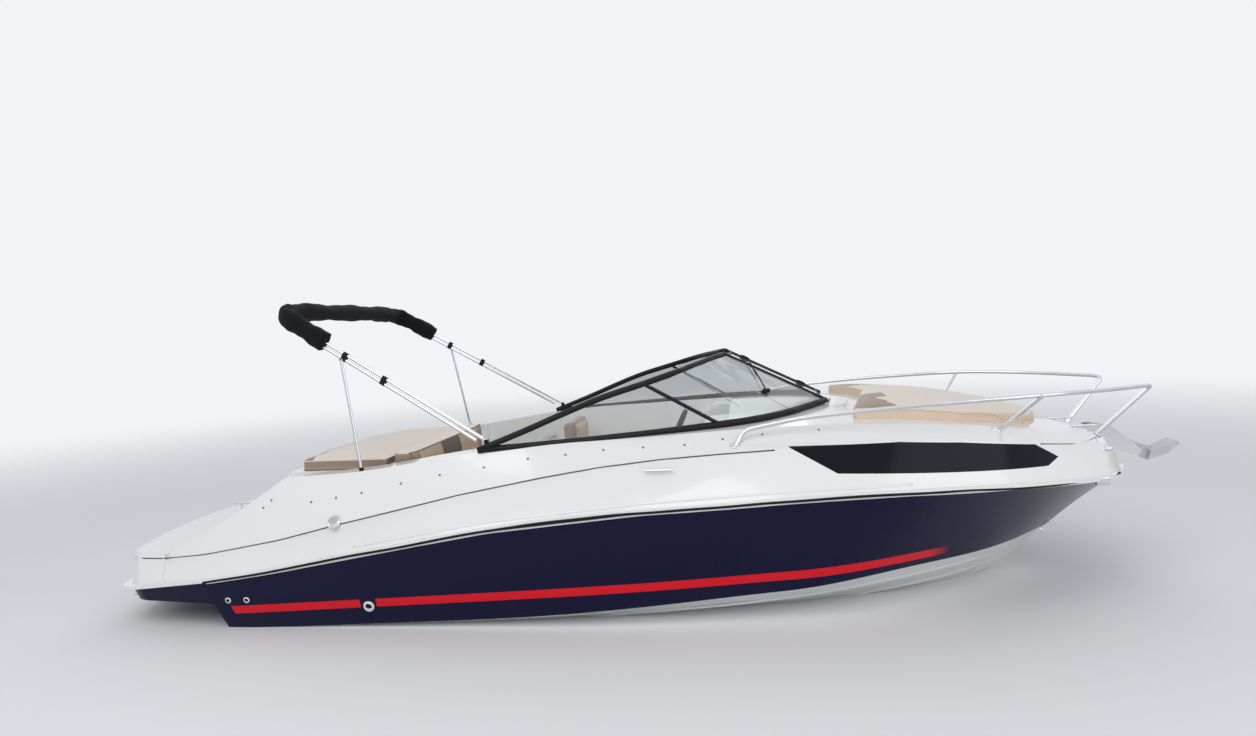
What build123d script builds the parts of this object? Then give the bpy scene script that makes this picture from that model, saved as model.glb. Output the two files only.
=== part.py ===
# Open sports cuddy speedboat with a sterndrive, 6.6 m of moulded hull and 2.5 m beam.
# Millimetres. X points to the bow, Y to port, Z up. The origin lies on the centreplane,
# at the waterline, where the transom meets the chine.
from math import atan2, cos, hypot, radians, sin, tan
import os

from build123d import *

os.makedirs("parts", exist_ok=True)

# Hull and deck lines, from the transom to the stem, one row a rib. Columns:
# rub rail x, z, half breadth; keel x, z; chine z, half breadth; bow of the side outwards;
# styling line z, half breadth; gunwale z, half breadth; height of the deck's crown.
RIBS = [
    (-84, 335, 1180, 105, -420, 0, 1080, 12, 484, 1122, 640, 1010, 650),
    (400, 407, 1205, 420, -418, 5, 1083, 14, 570, 1150, 930, 985, 945),
    (900, 495, 1222, 900, -415, 24, 1087, 15, 686, 1180, 965, 1025, 990),
    (1350, 575, 1240, 1350, -411, 42, 1092, 15, 782, 1187, 1022, 1035, 1050),
    (1800, 650, 1250, 1800, -405, 63, 1097, 15, 873, 1190, 1078, 1035, 1110),
    (2700, 738, 1250, 2680, -388, 130, 1088, 12, 1005, 1185, 1120, 1005, 1170),
    (3500, 783, 1240, 3400, -362, 195, 1025, 4, 1047, 1140, 1148, 930, 1200),
    (4200, 802, 1180, 4000, -303, 258, 862, -12, 1058, 1070, 1130, 850, 1195),
    (4780, 788, 1030, 4450, -212, 281, 600, -35, 1010, 900, 1072, 700, 1120),
    (5220, 756, 780, 4800, -62, 287, 300, -45, 950, 645, 990, 470, 1015),
    (5480, 728, 530, 5050, 110, 293, 95, -40, 905, 400, 945, 270, 957),
    (5600, 713, 350, 5160, 205, 297, 34, -30, 835, 260, 872, 180, 885),
    (5690, 703, 110, 5225, 262, 300, 12, -5, 733, 85, 748, 60, 754),
]
# The deck moulding's quarters run on aft of the transom, over the swim platform.
QUARTER = (-420, 292, 1118, 0, 0, 0, 0, 0, 437, 1070, 478, 1000, 482)

HULL_WALL = 12
TRANSOM_WALL = 40
DECK_WALL = 10
LINER_WALL = 12
SOFT_GAP = 0.3
RAIL_W = 18
RAIL_H = 26
SEAM = 1
STRAKES = (0.30, 0.54, 0.78)
STRAKE_W = 30
STRAKE_H = 14

# Swim platform
PLATFORM_REACH = 850
PLATFORM_SIDE = -640
PLATFORM_JOIN = 60
PLATFORM_HALF = 1062
PLATFORM_FLARE = 118
PLATFORM_CORNER = 220
PLATFORM_DRAFT = 16
UNDER_Z = 165
STEP_Z = 470
DRIVE_WELL = 330
QUARTER_INSIDE = 900
WALL_FOOT = 30
WALL_HEAD = 395

# Cockpit
SOLE_Z = 190
COCKPIT_AFT = 1085
COCKPIT_FRONT = 3220
COCKPIT_NARROWS = 2600
COCKPIT_HALF = 915
COCKPIT_HALF_FRONT = 740
DOOR_LOW = -190
DOOR_HIGH = 330
DOOR_TOP = 1120
DOOR_T = 16
DOOR_SILL = 60
DOOR_TRAVEL = 440

# Sunpad on its hatch: to starboard it meets the coaming, to port a walkway passes it
SUNPAD_AFT = 400
SUNPAD_FRONT = 1065
SUNPAD_STARBOARD = 900
SUNPAD_PORT = 560
HATCH_Z = 925
HATCH_T = 30
SUNPAD_T = 75
HATCH_GAP = 8
HATCH_PIN = (380, 962)
HATCH_PIN_R = 5
HATCH_HINGES = (-650, 310)
HINGE_PLATE = 14
EAR_T = 6
EAR_GAP = 1.5
WALKWAY_PORT = 900

# Aft bench, seats, wheel and cabin berth
BENCH_FRONT = 1640
BENCH_HALF = 898
BENCH_PORT = 555
BENCH_Z = 500
PAD_T = 110
BACK_T = 110
BACK_Z = 1068
SEAT_X = 2230
SEAT_Y = (-500, 500)
SEAT_Z = 540
SEAT_BACK_Z = 1080
SEAT_LENGTH = 480
SEAT_PAD_T = 120
SEAT_BACK_T = 110
SEAT_RECLINE = 60
PEDESTAL_R = 38
PEDESTAL_FOOT_R = 150
# Consoles' side views, (x, z), from the sole up to the dash and back down
HELM_CONSOLE = [
    (3010, SOLE_Z), (3010, 760), (2900, 830), (2960, 1070), (3050, 1135), (3208, 1145), (3208, SOLE_Z),
]
PORT_CONSOLE = [
    (3010, SOLE_Z), (3010, 760), (2930, 830), (2980, 1060), (3060, 1125), (3208, 1135), (3208, SOLE_Z),
]
CONSOLE_INSET = 30
WHEEL_AT = (2850, -470, 1040)
WHEEL_R = 178
WHEEL_HUB_R = 45
RIM_R = 14
WHEEL_TILT = 25
COLUMN_R = 26
SHAFT_R = 12
BERTH_AFT = 3260
BERTH_Z = 330
BERTH_FORE = 5150
BERTH_PAD_HALF = 700
BERTH_PAD_FORE = 4650
BERTH_PAD_T = 90

# Windshield: points of the port side, top rail from its foot to the divider and on to the post
PANE_T = 6
FRAME_R = 16
FRAME_BEND = 60
GLASS_GAP = 2
HINGE_R = 3
BARREL_R = 6
HINGE_OUT = 16
HINGE_AT = (0.2, 0.8)
BARREL_HALF = 20
HINGE_TAB = 28
DIVIDER_R = 10
CENTRE_HALF = 270
CENTRE_TOP = (3188, 1554)
CENTRE_FOOT = (3840, 1222)
CENTRE_GAP = 6
PANEL_R = 9
PANEL_INSET = 34
TOP_RAIL = [
    (1709, 1038, 1080), (1972, 1022, 1173), (2219, 1006, 1271), (2465, 968, 1362), (2716, 905, 1428),
    (2930, 780, 1489), (3045, 560, 1521),
]
SILL_RAIL = [(1709, 1038, 1080), (2453, 1002, 1118), (3163, 897, 1167), (3400, 800, 1182), (3610, 615, 1198)]
DIVIDER_SILL = 2
DIVIDER_TOP = 4

# Cabin window outline, (x, z)
WINDOW = [(3544, 1060), (3806, 909), (5004, 862), (5087, 899), (4946, 982), (4500, 1035), (4158, 1060)]
LID_HINGE = (5247, 1003)
LID_PIN_R = 3
LID_PIN_REACH = 156
LID_PIN_RUN = 30

# Bow rails, points of the port side from the aft foot forward
RAIL_R = 12.5
STANCHION_R = 11
BOW_RAIL = [
    (3250, 1095, 1060), (3300, 1060, 1150), (3623, 1020, 1205), (4178, 1000, 1245), (4958, 935, 1274),
    (5400, 700, 1265), (5740, 400, 1250), (5778, 345, 1240), (5505, 250, 940),
]

STANCHION = ((4763, -738, 1042), (4958, -935, 1272))

# Bow sunpad plan, port side from the aft edge to the nose
BOW_PAD_T = 65
BOW_PAD = [(4090, 0), (3930, 790), (4560, 740), (4830, 600), (5100, 350), (5190, 120)]

# Cleats: x, half breadth, z, length, tilt from upright
CLEATS = [(5445, 195, 961, 160, 4), (2817, 1188, 957, 160, 80), (107, 965, 747, 160, 4)]
CLEAT_R = 7
CLEAT_FOOT_R = 5
CLEAT_RISE = 26
ROLLER = (5825, 795.5)
ROLLER_R = 12
ROLLER_CHEEKS = (-34, 30)
CHEEK_T = 4
CHEEK = [
    (5455, 930), (5455, 966), (5560, 975), (5680, 950), (5800, 850), (5860, 790), (5845, 755), (5775, 775),
    (5700, 800), (5600, 850),
]
ROLLER_FOOT = ((5455, -34, 930), (5520, 34, 966))
SHANK_HALF = 7
SHANK = [
    (5560, 935), (5640, 925), (5780, 835), (5800, 815), (5950, 775), (5960, 795), (5820, 845), (5660, 950),
    (5560, 955),
]
FLUKE_HALF = 70
FLUKE = [(5880, 730), (6000, 770), (6075, 835), (6060, 850), (5980, 815), (5900, 790)]

# Fuel filler, outlets in the sides (x, z, radius) and bow eyes (x, z)
FILLER = ((822, -1150, 686), (822, -1176, 679))
FILLER_R = 43
OUTLETS = [(990, 159, 35), (64, 202, 19), (191, 205, 19)]
BOW_EYES = [(5300, 330), (5238, 272)]
EYE_HALF = 22
EYE_R = 5

# Boarding ladder under the platform: its two rails and three rungs
LADDER_SIDES = (-840, -600)
LADDER_RUN = (-560, -850)
LADDER_RUNGS = (-640, -735, -830)
LADDER_Z = 140
LADDER_RAIL_R = 11
LADDER_RUNG_R = 9

# Bimini top, stowed in its boot and propped up on two struts; points of the port side
TUBE_R = 11
TUBE_SPACING = 31
BOOT_R = 60
STRUT_R = 9
BIMINI_PIVOT = (1763, 1030, 1134)
BIMINI_PIN_R = 4
BIMINI_EYE_R = 10
BIMINI_EYE_T = 10
BOOT_LINE = [(704, 904, 1777), (432, 872, 1948), (408, 500, 1968)]
BOOT_TURN = 140
BOOT_SAG = 900
CLAMP_AT = (0.62, 0.868)
CLAMP_T = 28
CLAMP_L = 34
STRUT_OUT = 36
STRUT_FOOT = (936, 1010, 990)
STRUT_PAD_R = 14

# Engine and sterndrive; (x, z) points are on the centreplane
ENGINE_LOW = -220
ENGINE_HIGH = 290
ENGINE_AFT = 200
ENGINE_LENGTH = 660
ENGINE_HALF = 300
BEARER_SIDES = (-300, 240)
BEARER_W = 60
PLATE_HALF = 170
PLATE_AFT = -75
PLATE = [(120, -290), (PLATE_AFT, -262), (PLATE_AFT, 140), (0, 165)]
STEER_X = -185
SWIVEL_R = 12
ARM_LOW = (-252, -222)
ARM_HIGH = (96, 126)
RING_LOW = -215
RING_HIGH = 90
RING_HALF = 95
RING_DEPTH = 20
RING_BAR = 25
TILT = (-185, -20)
NECK_HALF = 62
HEAD_HALF = 62
LEG_HEAD = [(-226, 8), (-251, 11), (-390, 66), (-450, 10), (-445, -150), (-262, -190), (-226, -120)]
VENT_Z = -400
VENT_T = 14
VENT_HALF = 120
MID_LEG_HALF = 38
GEARCASE_NECK_HALF = 26
SKEG_HALF = 8
VENT_RUN = (-260, -640)
MID_LEG = [(-265, -120), (-400, -120), (-425, VENT_Z), (-300, VENT_Z)]
PROP_X = -560
PROP_Z = -590
PROP_HUB_R = 55
PROP_SHAFT_R = 14
SKEG_Z = -810
GEARCASE_NECK = [(-300, VENT_Z), (-430, VENT_Z), (-450, PROP_Z), (-320, PROP_Z)]
SKEG = [(-330, PROP_Z), (-470, PROP_Z), (-500, SKEG_Z), (-430, SKEG_Z)]
RAM_FORE = (-185, -180)
RAM_AFT = (-425, -120)
RAM_Y = 124
RAM_R = 20
RAM_BODY = 190
RAM_ROD_R = 9
RAM_PIN_R = 8
RAM_EYE_SLACK = 9
RAM_EYE_T = 16
RAM_EYE_R = 18
# Propeller blade: radius, pitch angle from the disc, chord
BLADE = [(30, 60, 70), (90, 45, 120), (140, 35, 125), (178, 28, 70)]
BLADE_T = 7
FIT = 0.05


def row_between(x, rows=RIBS):
    """Row of the hull and deck lines at a rub rail x, by straight interpolation."""
    for low, high in zip(rows, rows[1:]):
        if low[0] <= x <= high[0]:
            share = (x - low[0]) / (high[0] - low[0])
            return tuple(a + (b - a) * share for a, b in zip(low, high))
    raise ValueError("no rib at %s" % x)


def rib_plane(low, high):
    """Plane across the boat through two (x, z) points of the centreplane, low one as origin."""
    rake = atan2(high[0] - low[0], high[1] - low[1])
    return Plane(origin=(low[0], 0, low[1]), x_dir=(0, 1, 0), z_dir=(cos(rake), 0, -sin(rake)))


def rib_points(row, wall=0, shift=0):
    """A rib's plane and its keel, chine and rub points (half breadth, height), set in by a wall."""
    low = (row[3] + shift, row[4])
    high = (row[0] + shift, row[1])
    length = hypot(high[0] - low[0], high[1] - low[1])
    chine_up = length * (row[5] - low[1]) / (high[1] - low[1])
    slope = hypot(row[6], chine_up) / row[6]
    keel = (0, min(wall * slope, chine_up / 2))
    chine = (max(row[6] - wall * 1.2, row[6] / 3), chine_up + wall * 0.3)
    rub = (row[2] - wall, length)
    return rib_plane(low, high), keel, chine, rub


def loft_hull(wall=0, shift=0, rise=0):
    """Solid between the ribs, set in by a wall; shift moves the transom, rise lifts the top."""
    with BuildPart() as body:
        for index, row in enumerate(RIBS):
            step = shift if index == 0 else 0
            if index == len(RIBS) - 1:
                step = -2 * wall
            plane, keel, chine, rub = rib_points(row, wall, step)
            side = Vector(rub[0] - chine[0], rub[1] - chine[1]).normalized()
            middle = ((chine[0] + rub[0]) / 2 + row[7] * side.Y, (chine[1] + rub[1]) / 2 - row[7] * side.X)
            top = rub[1] + rise + SEAM
            with BuildSketch(plane):
                with BuildLine():
                    Polyline((-chine[0], chine[1]), keel, chine)
                    ThreePointArc(chine, middle, rub)
                    Polyline(rub, (rub[0], top), (-rub[0], top), (-rub[0], rub[1]))
                    ThreePointArc((-rub[0], rub[1]), (-middle[0], middle[1]), (-chine[0], chine[1]))
                make_face()
        loft()
    return body.part


def loft_chine(depth):
    """Solid that holds everything below the chine, wider and deeper than the hull by depth."""
    with BuildPart() as body:
        for row in RIBS:
            plane, keel, chine, rub = rib_points(row)
            with BuildSketch(plane):
                with BuildLine():
                    Polyline(
                        (-chine[0] - depth, chine[1]), (-chine[0] - depth, -depth),
                        (chine[0] + depth, -depth), (chine[0] + depth, chine[1]), close=True,
                    )
                make_face()
        loft()
    return body.part


def loft_deck(rows, wall=0, drop=0, tip=0):
    """Solid of the deck moulding over the rub rail, set in by a wall; drop lowers its floor."""
    with BuildPart() as body:
        for index, row in enumerate(rows):
            x = row[0] - (tip if index == len(rows) - 1 else 0)
            rub = (row[2] - wall, row[1] + SEAM - drop)
            line = (row[9] - wall, row[8] - wall * 0.3)
            gunwale = (row[11] - wall * 0.7, row[10] - wall)
            crown = (0, row[12] - wall)
            hollow = ((rub[0] + line[0]) / 2 - 9, (row[1] + line[1]) / 2)
            with BuildSketch(Plane.YZ.offset(x)):
                with BuildLine():
                    ThreePointArc(rub, hollow, line)
                    Line(line, gunwale)
                    ThreePointArc(gunwale, crown, (-gunwale[0], gunwale[1]))
                    Line((-gunwale[0], gunwale[1]), (-line[0], line[1]))
                    ThreePointArc((-line[0], line[1]), (-hollow[0], hollow[1]), (-rub[0], rub[1]))
                    Line((-rub[0], rub[1]), rub)
                make_face()
        loft()
    return body.part


def tube(points, radii, radius):
    """Round bar along straight runs with an arc at each inner corner."""
    with BuildPart() as bar:
        with BuildLine() as path:
            if radii:
                FilletPolyline(*points, radius=radii)
            else:
                Polyline(*points)
        start = path.line @ 0
        with BuildSketch(Plane(origin=start, z_dir=path.line % 0)):
            Circle(radius)
        sweep(path=path.line)
    return bar.part


def rod(start, end, radius):
    """Round bar between two points."""
    axis = Vector(*end) - Vector(*start)
    with BuildPart() as bar:
        with BuildSketch(Plane(origin=start, z_dir=axis)):
            Circle(radius)
        extrude(amount=axis.length)
    return bar.part


def pane(cuts, thick):
    """Thin wall through (bottom point, top point) pairs, each cut standing square to the wall."""
    planes = []
    for index, (low, high) in enumerate(cuts):
        before = cuts[max(index - 1, 0)]
        after = cuts[min(index + 1, len(cuts) - 1)]
        along = Vector(*after[0]) + Vector(*after[1]) - Vector(*before[0]) - Vector(*before[1])
        rise = Vector(*high) - Vector(*low)
        normal = along.cross(rise).normalized()
        cut_plane = Plane(origin=low, x_dir=normal, z_dir=normal.cross(rise.normalized()))
        planes.append((cut_plane, rise.length))
    with BuildPart() as wall:
        for first, second in zip(planes, planes[1:]):
            with BuildPart(mode=Mode.PRIVATE) as stretch:
                for cut_plane, height in (first, second):
                    with BuildSketch(cut_plane):
                        with Locations((0, height / 2)):
                            Rectangle(thick, height)
                loft(ruled=True)
            add(stretch.part)
    return wall.part


def corner_radii(points, largest=10000):
    """Radius for each inner corner of a bar, as large as its two runs allow."""
    vectors = [Vector(*point) for point in points]
    radii = []
    for before, here, after in zip(vectors, vectors[1:], vectors[2:]):
        run_in, run_out = here - before, after - here
        turn = radians(run_in.get_angle(run_out))
        radii.append(min(largest, 0.45 * min(run_in.length, run_out.length) / tan(turn / 2)))
    return radii


def mirrored(part):
    """The same piece on the other side of the boat."""
    return mirror(part, about=Plane.XZ)


def plan_prism(points, low, high, corner=0):
    """Upright prism over a plan outline."""
    with BuildPart() as prism:
        with BuildSketch(Plane.XY.offset(low)) as outline:
            with BuildLine():
                Polyline(*points, close=True)
            make_face()
            if corner:
                fillet(outline.vertices(), corner)
        extrude(amount=high - low)
    return prism.part


def side_prism(points, low, high):
    """Prism across the boat over a side outline of (x, z) points, from y = low to y = high."""
    with BuildPart() as prism:
        with BuildSketch(Plane.XZ.offset(-low)):
            with BuildLine():
                Polyline(*points, close=True)
            make_face()
        extrude(amount=-(high - low))
    return prism.part


def pin_y(x, z, low, high, radius):
    """Round bar across the boat at (x, z), from y = low to y = high."""
    return rod((x, low, z), (x, high, z), radius)


def block(low, high, edge=0):
    """Box between two corners, its edges rounded."""
    with BuildPart() as box:
        with BuildSketch(Plane.XY.offset(low[2])):
            with Locations(((low[0] + high[0]) / 2, (low[1] + high[1]) / 2)):
                Rectangle(high[0] - low[0], high[1] - low[1])
        extrude(amount=high[2] - low[2])
        if edge:
            fillet(box.edges(), edge)
    return box.part


def keep(part, name):
    """Label a finished piece and write it."""
    part.label = name
    export_step(part, "parts/%s.step" % name)
    print(name, round(part.volume / 1e6, 2), len(part.solids()), part.is_valid)


# Hull moulding: white bottom up to the chine, coloured topsides above it
hull_solid = loft_hull()
hull_hollow = loft_hull(HULL_WALL, TRANSOM_WALL, 20)
below_chine = loft_chine(60)
with BuildPart() as hull_bottom:
    add(hull_solid)
    add(hull_hollow, mode=Mode.SUBTRACT)
    add(below_chine, mode=Mode.INTERSECT)
keep(hull_bottom.part, "hull_bottom")
deck_solid = loft_deck(RIBS[1:])
quarter_deck = loft_deck([QUARTER] + RIBS[:2])
with BuildPart() as hull_topsides:
    add(hull_solid)
    add(hull_hollow, mode=Mode.SUBTRACT)
    add(below_chine, mode=Mode.SUBTRACT)
    add(deck_solid, mode=Mode.SUBTRACT)
    add(quarter_deck, mode=Mode.SUBTRACT)
# The deck cut leaves slivers a micron thick along the sheer, so only the largest solid is kept
keep(hull_topsides.part.solids().sort_by(SortBy.VOLUME)[-1], "hull_topsides")

# Spray strakes: triangular runners on the bottom, from the transom to the forefoot
with BuildPart() as strakes:
    for share in STRAKES:
        for hand in (-1, 1):
            with BuildPart(mode=Mode.PRIVATE) as strake:
                for row in RIBS[:-3]:
                    plane, keel, chine, rub = rib_points(row)
                    fit = min(1, chine[0] / 400)
                    rise = chine[1] / chine[0]
                    inside = (chine[0] * share * hand, chine[0] * share * rise)
                    outside = (inside[0] + STRAKE_W * fit * hand, inside[1] + STRAKE_W * fit * rise + 2)
                    edge = (outside[0], outside[1] - STRAKE_H * fit - 2)
                    with BuildSketch(plane):
                        with BuildLine():
                            Polyline((inside[0], inside[1] + 2), outside, edge, close=True)
                        make_face()
                loft()
            add(strake.part)
    add(hull_solid, mode=Mode.SUBTRACT)
keep(strakes.part, "spray_strakes")

# Openings in the deck: cockpit, engine bay with its walkway, and the step down to the platform
COCKPIT_PLAN = [
    (COCKPIT_AFT, -COCKPIT_HALF), (COCKPIT_NARROWS, -COCKPIT_HALF), (COCKPIT_FRONT, -COCKPIT_HALF_FRONT),
    (COCKPIT_FRONT, COCKPIT_HALF_FRONT), (COCKPIT_NARROWS, COCKPIT_HALF), (COCKPIT_AFT, COCKPIT_HALF),
]
TOP = 1600
cockpit_hole = plan_prism(COCKPIT_PLAN, SOLE_Z - LINER_WALL, TOP, 60)
cockpit_space = plan_prism(
    [
        (COCKPIT_AFT + LINER_WALL, -COCKPIT_HALF + LINER_WALL), (COCKPIT_NARROWS, -COCKPIT_HALF + LINER_WALL),
        (COCKPIT_FRONT - LINER_WALL, -COCKPIT_HALF_FRONT + LINER_WALL),
        (COCKPIT_FRONT - LINER_WALL, COCKPIT_HALF_FRONT - LINER_WALL),
        (COCKPIT_NARROWS, COCKPIT_HALF - LINER_WALL), (COCKPIT_AFT + LINER_WALL, COCKPIT_HALF - LINER_WALL),
    ],
    SOLE_Z, TOP, 50,
)
BAY_STARBOARD = -SUNPAD_STARBOARD - HATCH_GAP
BAY_PORT = SUNPAD_PORT + HATCH_GAP
bay_hole = block((SUNPAD_AFT - HATCH_GAP, BAY_STARBOARD, 300), (COCKPIT_AFT, BAY_PORT, TOP))
walkway = block((QUARTER[0] - 1, BAY_PORT + LINER_WALL, STEP_Z), (COCKPIT_AFT + 1, WALKWAY_PORT, TOP))
with BuildPart() as step_down:
    add(side_prism(
        [(QUARTER[0] - 1, STEP_Z), (WALL_FOOT, STEP_Z), (WALL_HEAD, TOP), (QUARTER[0] - 1, TOP)],
        -QUARTER_INSIDE, QUARTER_INSIDE,
    ))

# Anchor locker lid, cut from the foredeck's own skin
LOCKER_PLAN = [(5235, -150), (5440, -110), (5440, 110), (5235, 150)]
LID_PLAN = [(5241, -143), (5434, -104), (5434, 104), (5241, 143)]
locker_hole = plan_prism(LOCKER_PLAN, 820, 1100, 25)
lid_shape = plan_prism(LID_PLAN, 820, 1100, 20)

# Side windows: dark glass that fills its cut in the deck's side
window_cut = side_prism(WINDOW, -1300, 1300)

deck_hollow = loft_deck(RIBS[1:], DECK_WALL, 5, DECK_WALL)
with BuildPart() as deck_skin:
    add(deck_solid)
    add(deck_hollow, mode=Mode.SUBTRACT)
with BuildPart() as deck:
    add(deck_skin.part)
    add(quarter_deck)
    add(cockpit_hole, mode=Mode.SUBTRACT)
    add(bay_hole, mode=Mode.SUBTRACT)
    add(walkway, mode=Mode.SUBTRACT)
    add(step_down.part, mode=Mode.SUBTRACT)
    add(locker_hole, mode=Mode.SUBTRACT)
    add(window_cut, mode=Mode.SUBTRACT)
    add(pin_y(*LID_HINGE, -LID_PIN_REACH - 2, LID_PIN_REACH + 2, LID_PIN_R + FIT), mode=Mode.SUBTRACT)
keep(deck.part, "deck_moulding")
with BuildPart() as windows:
    add(deck_skin.part)
    add(window_cut, mode=Mode.INTERSECT)
keep(windows.part, "cabin_windows")
with BuildPart() as locker_lid:
    add(deck_skin.part)
    add(lid_shape, mode=Mode.INTERSECT)
    add(pin_y(*LID_HINGE, -LID_PIN_REACH, -LID_PIN_REACH + LID_PIN_RUN, LID_PIN_R))
    add(pin_y(*LID_HINGE, LID_PIN_REACH - LID_PIN_RUN, LID_PIN_REACH, LID_PIN_R))
keep(locker_lid.part, "anchor_locker_lid")

# Swim platform: white tread moulding over a coloured underside, aft of the transom
slope = atan2(RIBS[0][1] - QUARTER[1], RIBS[0][0] - QUARTER[0])
rub_plane = Plane(
    origin=(RIBS[0][0], 0, RIBS[0][1]), x_dir=(cos(slope), 0, sin(slope)), z_dir=(-sin(slope), 0, cos(slope))
)


def platform_outline(reach, half):
    """Plan of the platform in the rub rail's plane; x runs aft from the transom."""
    with BuildSketch(rub_plane) as outline:
        with BuildLine():
            ThreePointArc((PLATFORM_SIDE, half), (-reach, 0), (PLATFORM_SIDE, -half))
            Polyline(
                (PLATFORM_SIDE, -half), (PLATFORM_JOIN, -half - PLATFORM_FLARE),
                (PLATFORM_JOIN, half + PLATFORM_FLARE), (PLATFORM_SIDE, half),
            )
        make_face()
        fillet(outline.vertices().sort_by(Axis.X)[:2], PLATFORM_CORNER)
    return outline.sketch


top_cut = block((-1200, -1400, STEP_Z), (1000, 1400, TOP))
platform_plan = platform_outline(PLATFORM_REACH, PLATFORM_HALF)
with BuildPart() as platform:
    extrude(platform_plan, amount=260, taper=PLATFORM_DRAFT)
    add(top_cut, mode=Mode.SUBTRACT)
    add(block((QUARTER[0], -1400, -200), (1000, 1400, TOP)), mode=Mode.SUBTRACT)
keep(platform.part, "swim_platform")
with BuildPart() as underside:
    extrude(platform_plan, amount=-260, taper=PLATFORM_DRAFT)
    add(block((-1400, -1400, -200), (500, 1400, UNDER_Z)), mode=Mode.SUBTRACT)
    add(block((-1400, -DRIVE_WELL, -200), (500, DRIVE_WELL, UNDER_Z + 70)), mode=Mode.SUBTRACT)
    add(hull_solid, mode=Mode.SUBTRACT)
    add(quarter_deck, mode=Mode.SUBTRACT)
underside = underside.part.solids().sort_by(SortBy.VOLUME)[-1]
keep(underside, "platform_underside")

# Rub rail: black strip round the hull and on round the platform's edge
with BuildPart() as rub_rail:
    for row in RIBS:
        with BuildSketch(Plane.YZ.offset(row[0] + (RAIL_W if row is RIBS[-1] else 0))):
            with Locations((0, row[1])):
                Rectangle(2 * (row[2] + RAIL_W), RAIL_H)
    loft()
    with BuildPart(mode=Mode.PRIVATE) as rail_inside:
        for row in RIBS:
            with BuildSketch(Plane.YZ.offset(row[0] - (RAIL_W if row is RIBS[-1] else 0))):
                with Locations((0, row[1])):
                    Rectangle(2 * (row[2] - RAIL_W / 3), 3 * RAIL_H)
        loft()
    add(rail_inside.part, mode=Mode.SUBTRACT)
    add(hull_solid, mode=Mode.SUBTRACT)
    add(deck_solid, mode=Mode.SUBTRACT)
    add(quarter_deck, mode=Mode.SUBTRACT)
    with BuildSketch(rub_plane, mode=Mode.PRIVATE) as rail_plan:
        add(platform_plan)
        offset(amount=RAIL_W)
    with BuildPart(mode=Mode.PRIVATE) as platform_rail:
        extrude(rail_plan.sketch, amount=RAIL_H / 2, both=True)
        add(underside, mode=Mode.SUBTRACT)
        add(platform.part, mode=Mode.SUBTRACT)
        add(quarter_deck, mode=Mode.SUBTRACT)
        add(block((RIBS[0][0], -1400, 0), (200, 1400, 600)), mode=Mode.SUBTRACT)
        add(hull_solid.moved(Location((-SOFT_GAP, 0, 0))), mode=Mode.SUBTRACT)
    add(platform_rail.part)
keep(rub_rail.part, "rub_rail")

# Cockpit liner: sole, side walls up to the coaming, aft riser and cabin bulkhead with its door
with BuildPart() as cockpit_bound:
    add(deck_solid)
    add(block((COCKPIT_AFT - 80, -1000, 100), (COCKPIT_FRONT + 180, 1000, 800)))
with BuildPart() as liner:
    add(cockpit_hole)
    add(cockpit_space, mode=Mode.SUBTRACT)
    add(cockpit_bound.part, mode=Mode.INTERSECT)
    add(block(
        (COCKPIT_AFT - 1, BAY_STARBOARD, HATCH_Z - HATCH_GAP), (COCKPIT_AFT + LINER_WALL + 1, BAY_PORT, TOP)
    ), mode=Mode.SUBTRACT)
    add(walkway, mode=Mode.SUBTRACT)
    add(block(
        (COCKPIT_AFT - 1, BAY_PORT + LINER_WALL, STEP_Z), (COCKPIT_AFT + 60, WALKWAY_PORT, TOP)
    ), mode=Mode.SUBTRACT)
    add(block(
        (COCKPIT_FRONT - 60, DOOR_LOW, SOLE_Z + DOOR_SILL), (COCKPIT_FRONT + 1, DOOR_HIGH, DOOR_TOP)
    ), mode=Mode.SUBTRACT)
keep(liner.part, "cockpit_liner")

# Engine box: walls round the engine bay, aft wall of the cockpit and floor of the walkway
BAY_Z = 300
with BuildPart() as engine_box:
    add(block((SUNPAD_AFT - HATCH_GAP, BAY_STARBOARD, BAY_Z), (COCKPIT_AFT, BAY_PORT, HATCH_Z - SOFT_GAP)))
    add(block(
        (SUNPAD_AFT - HATCH_GAP + LINER_WALL, BAY_STARBOARD + LINER_WALL, BAY_Z - 1),
        (COCKPIT_AFT - LINER_WALL, BAY_PORT - LINER_WALL, TOP),
    ), mode=Mode.SUBTRACT)
    add(block((RIBS[1][0], BAY_PORT, STEP_Z - LINER_WALL), (COCKPIT_AFT, WALKWAY_PORT, STEP_Z)))
    add(block((RIBS[1][0], WALKWAY_PORT, STEP_Z - LINER_WALL), (COCKPIT_AFT, WALKWAY_PORT + LINER_WALL, 880)))
keep(engine_box.part, "engine_box")

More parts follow.
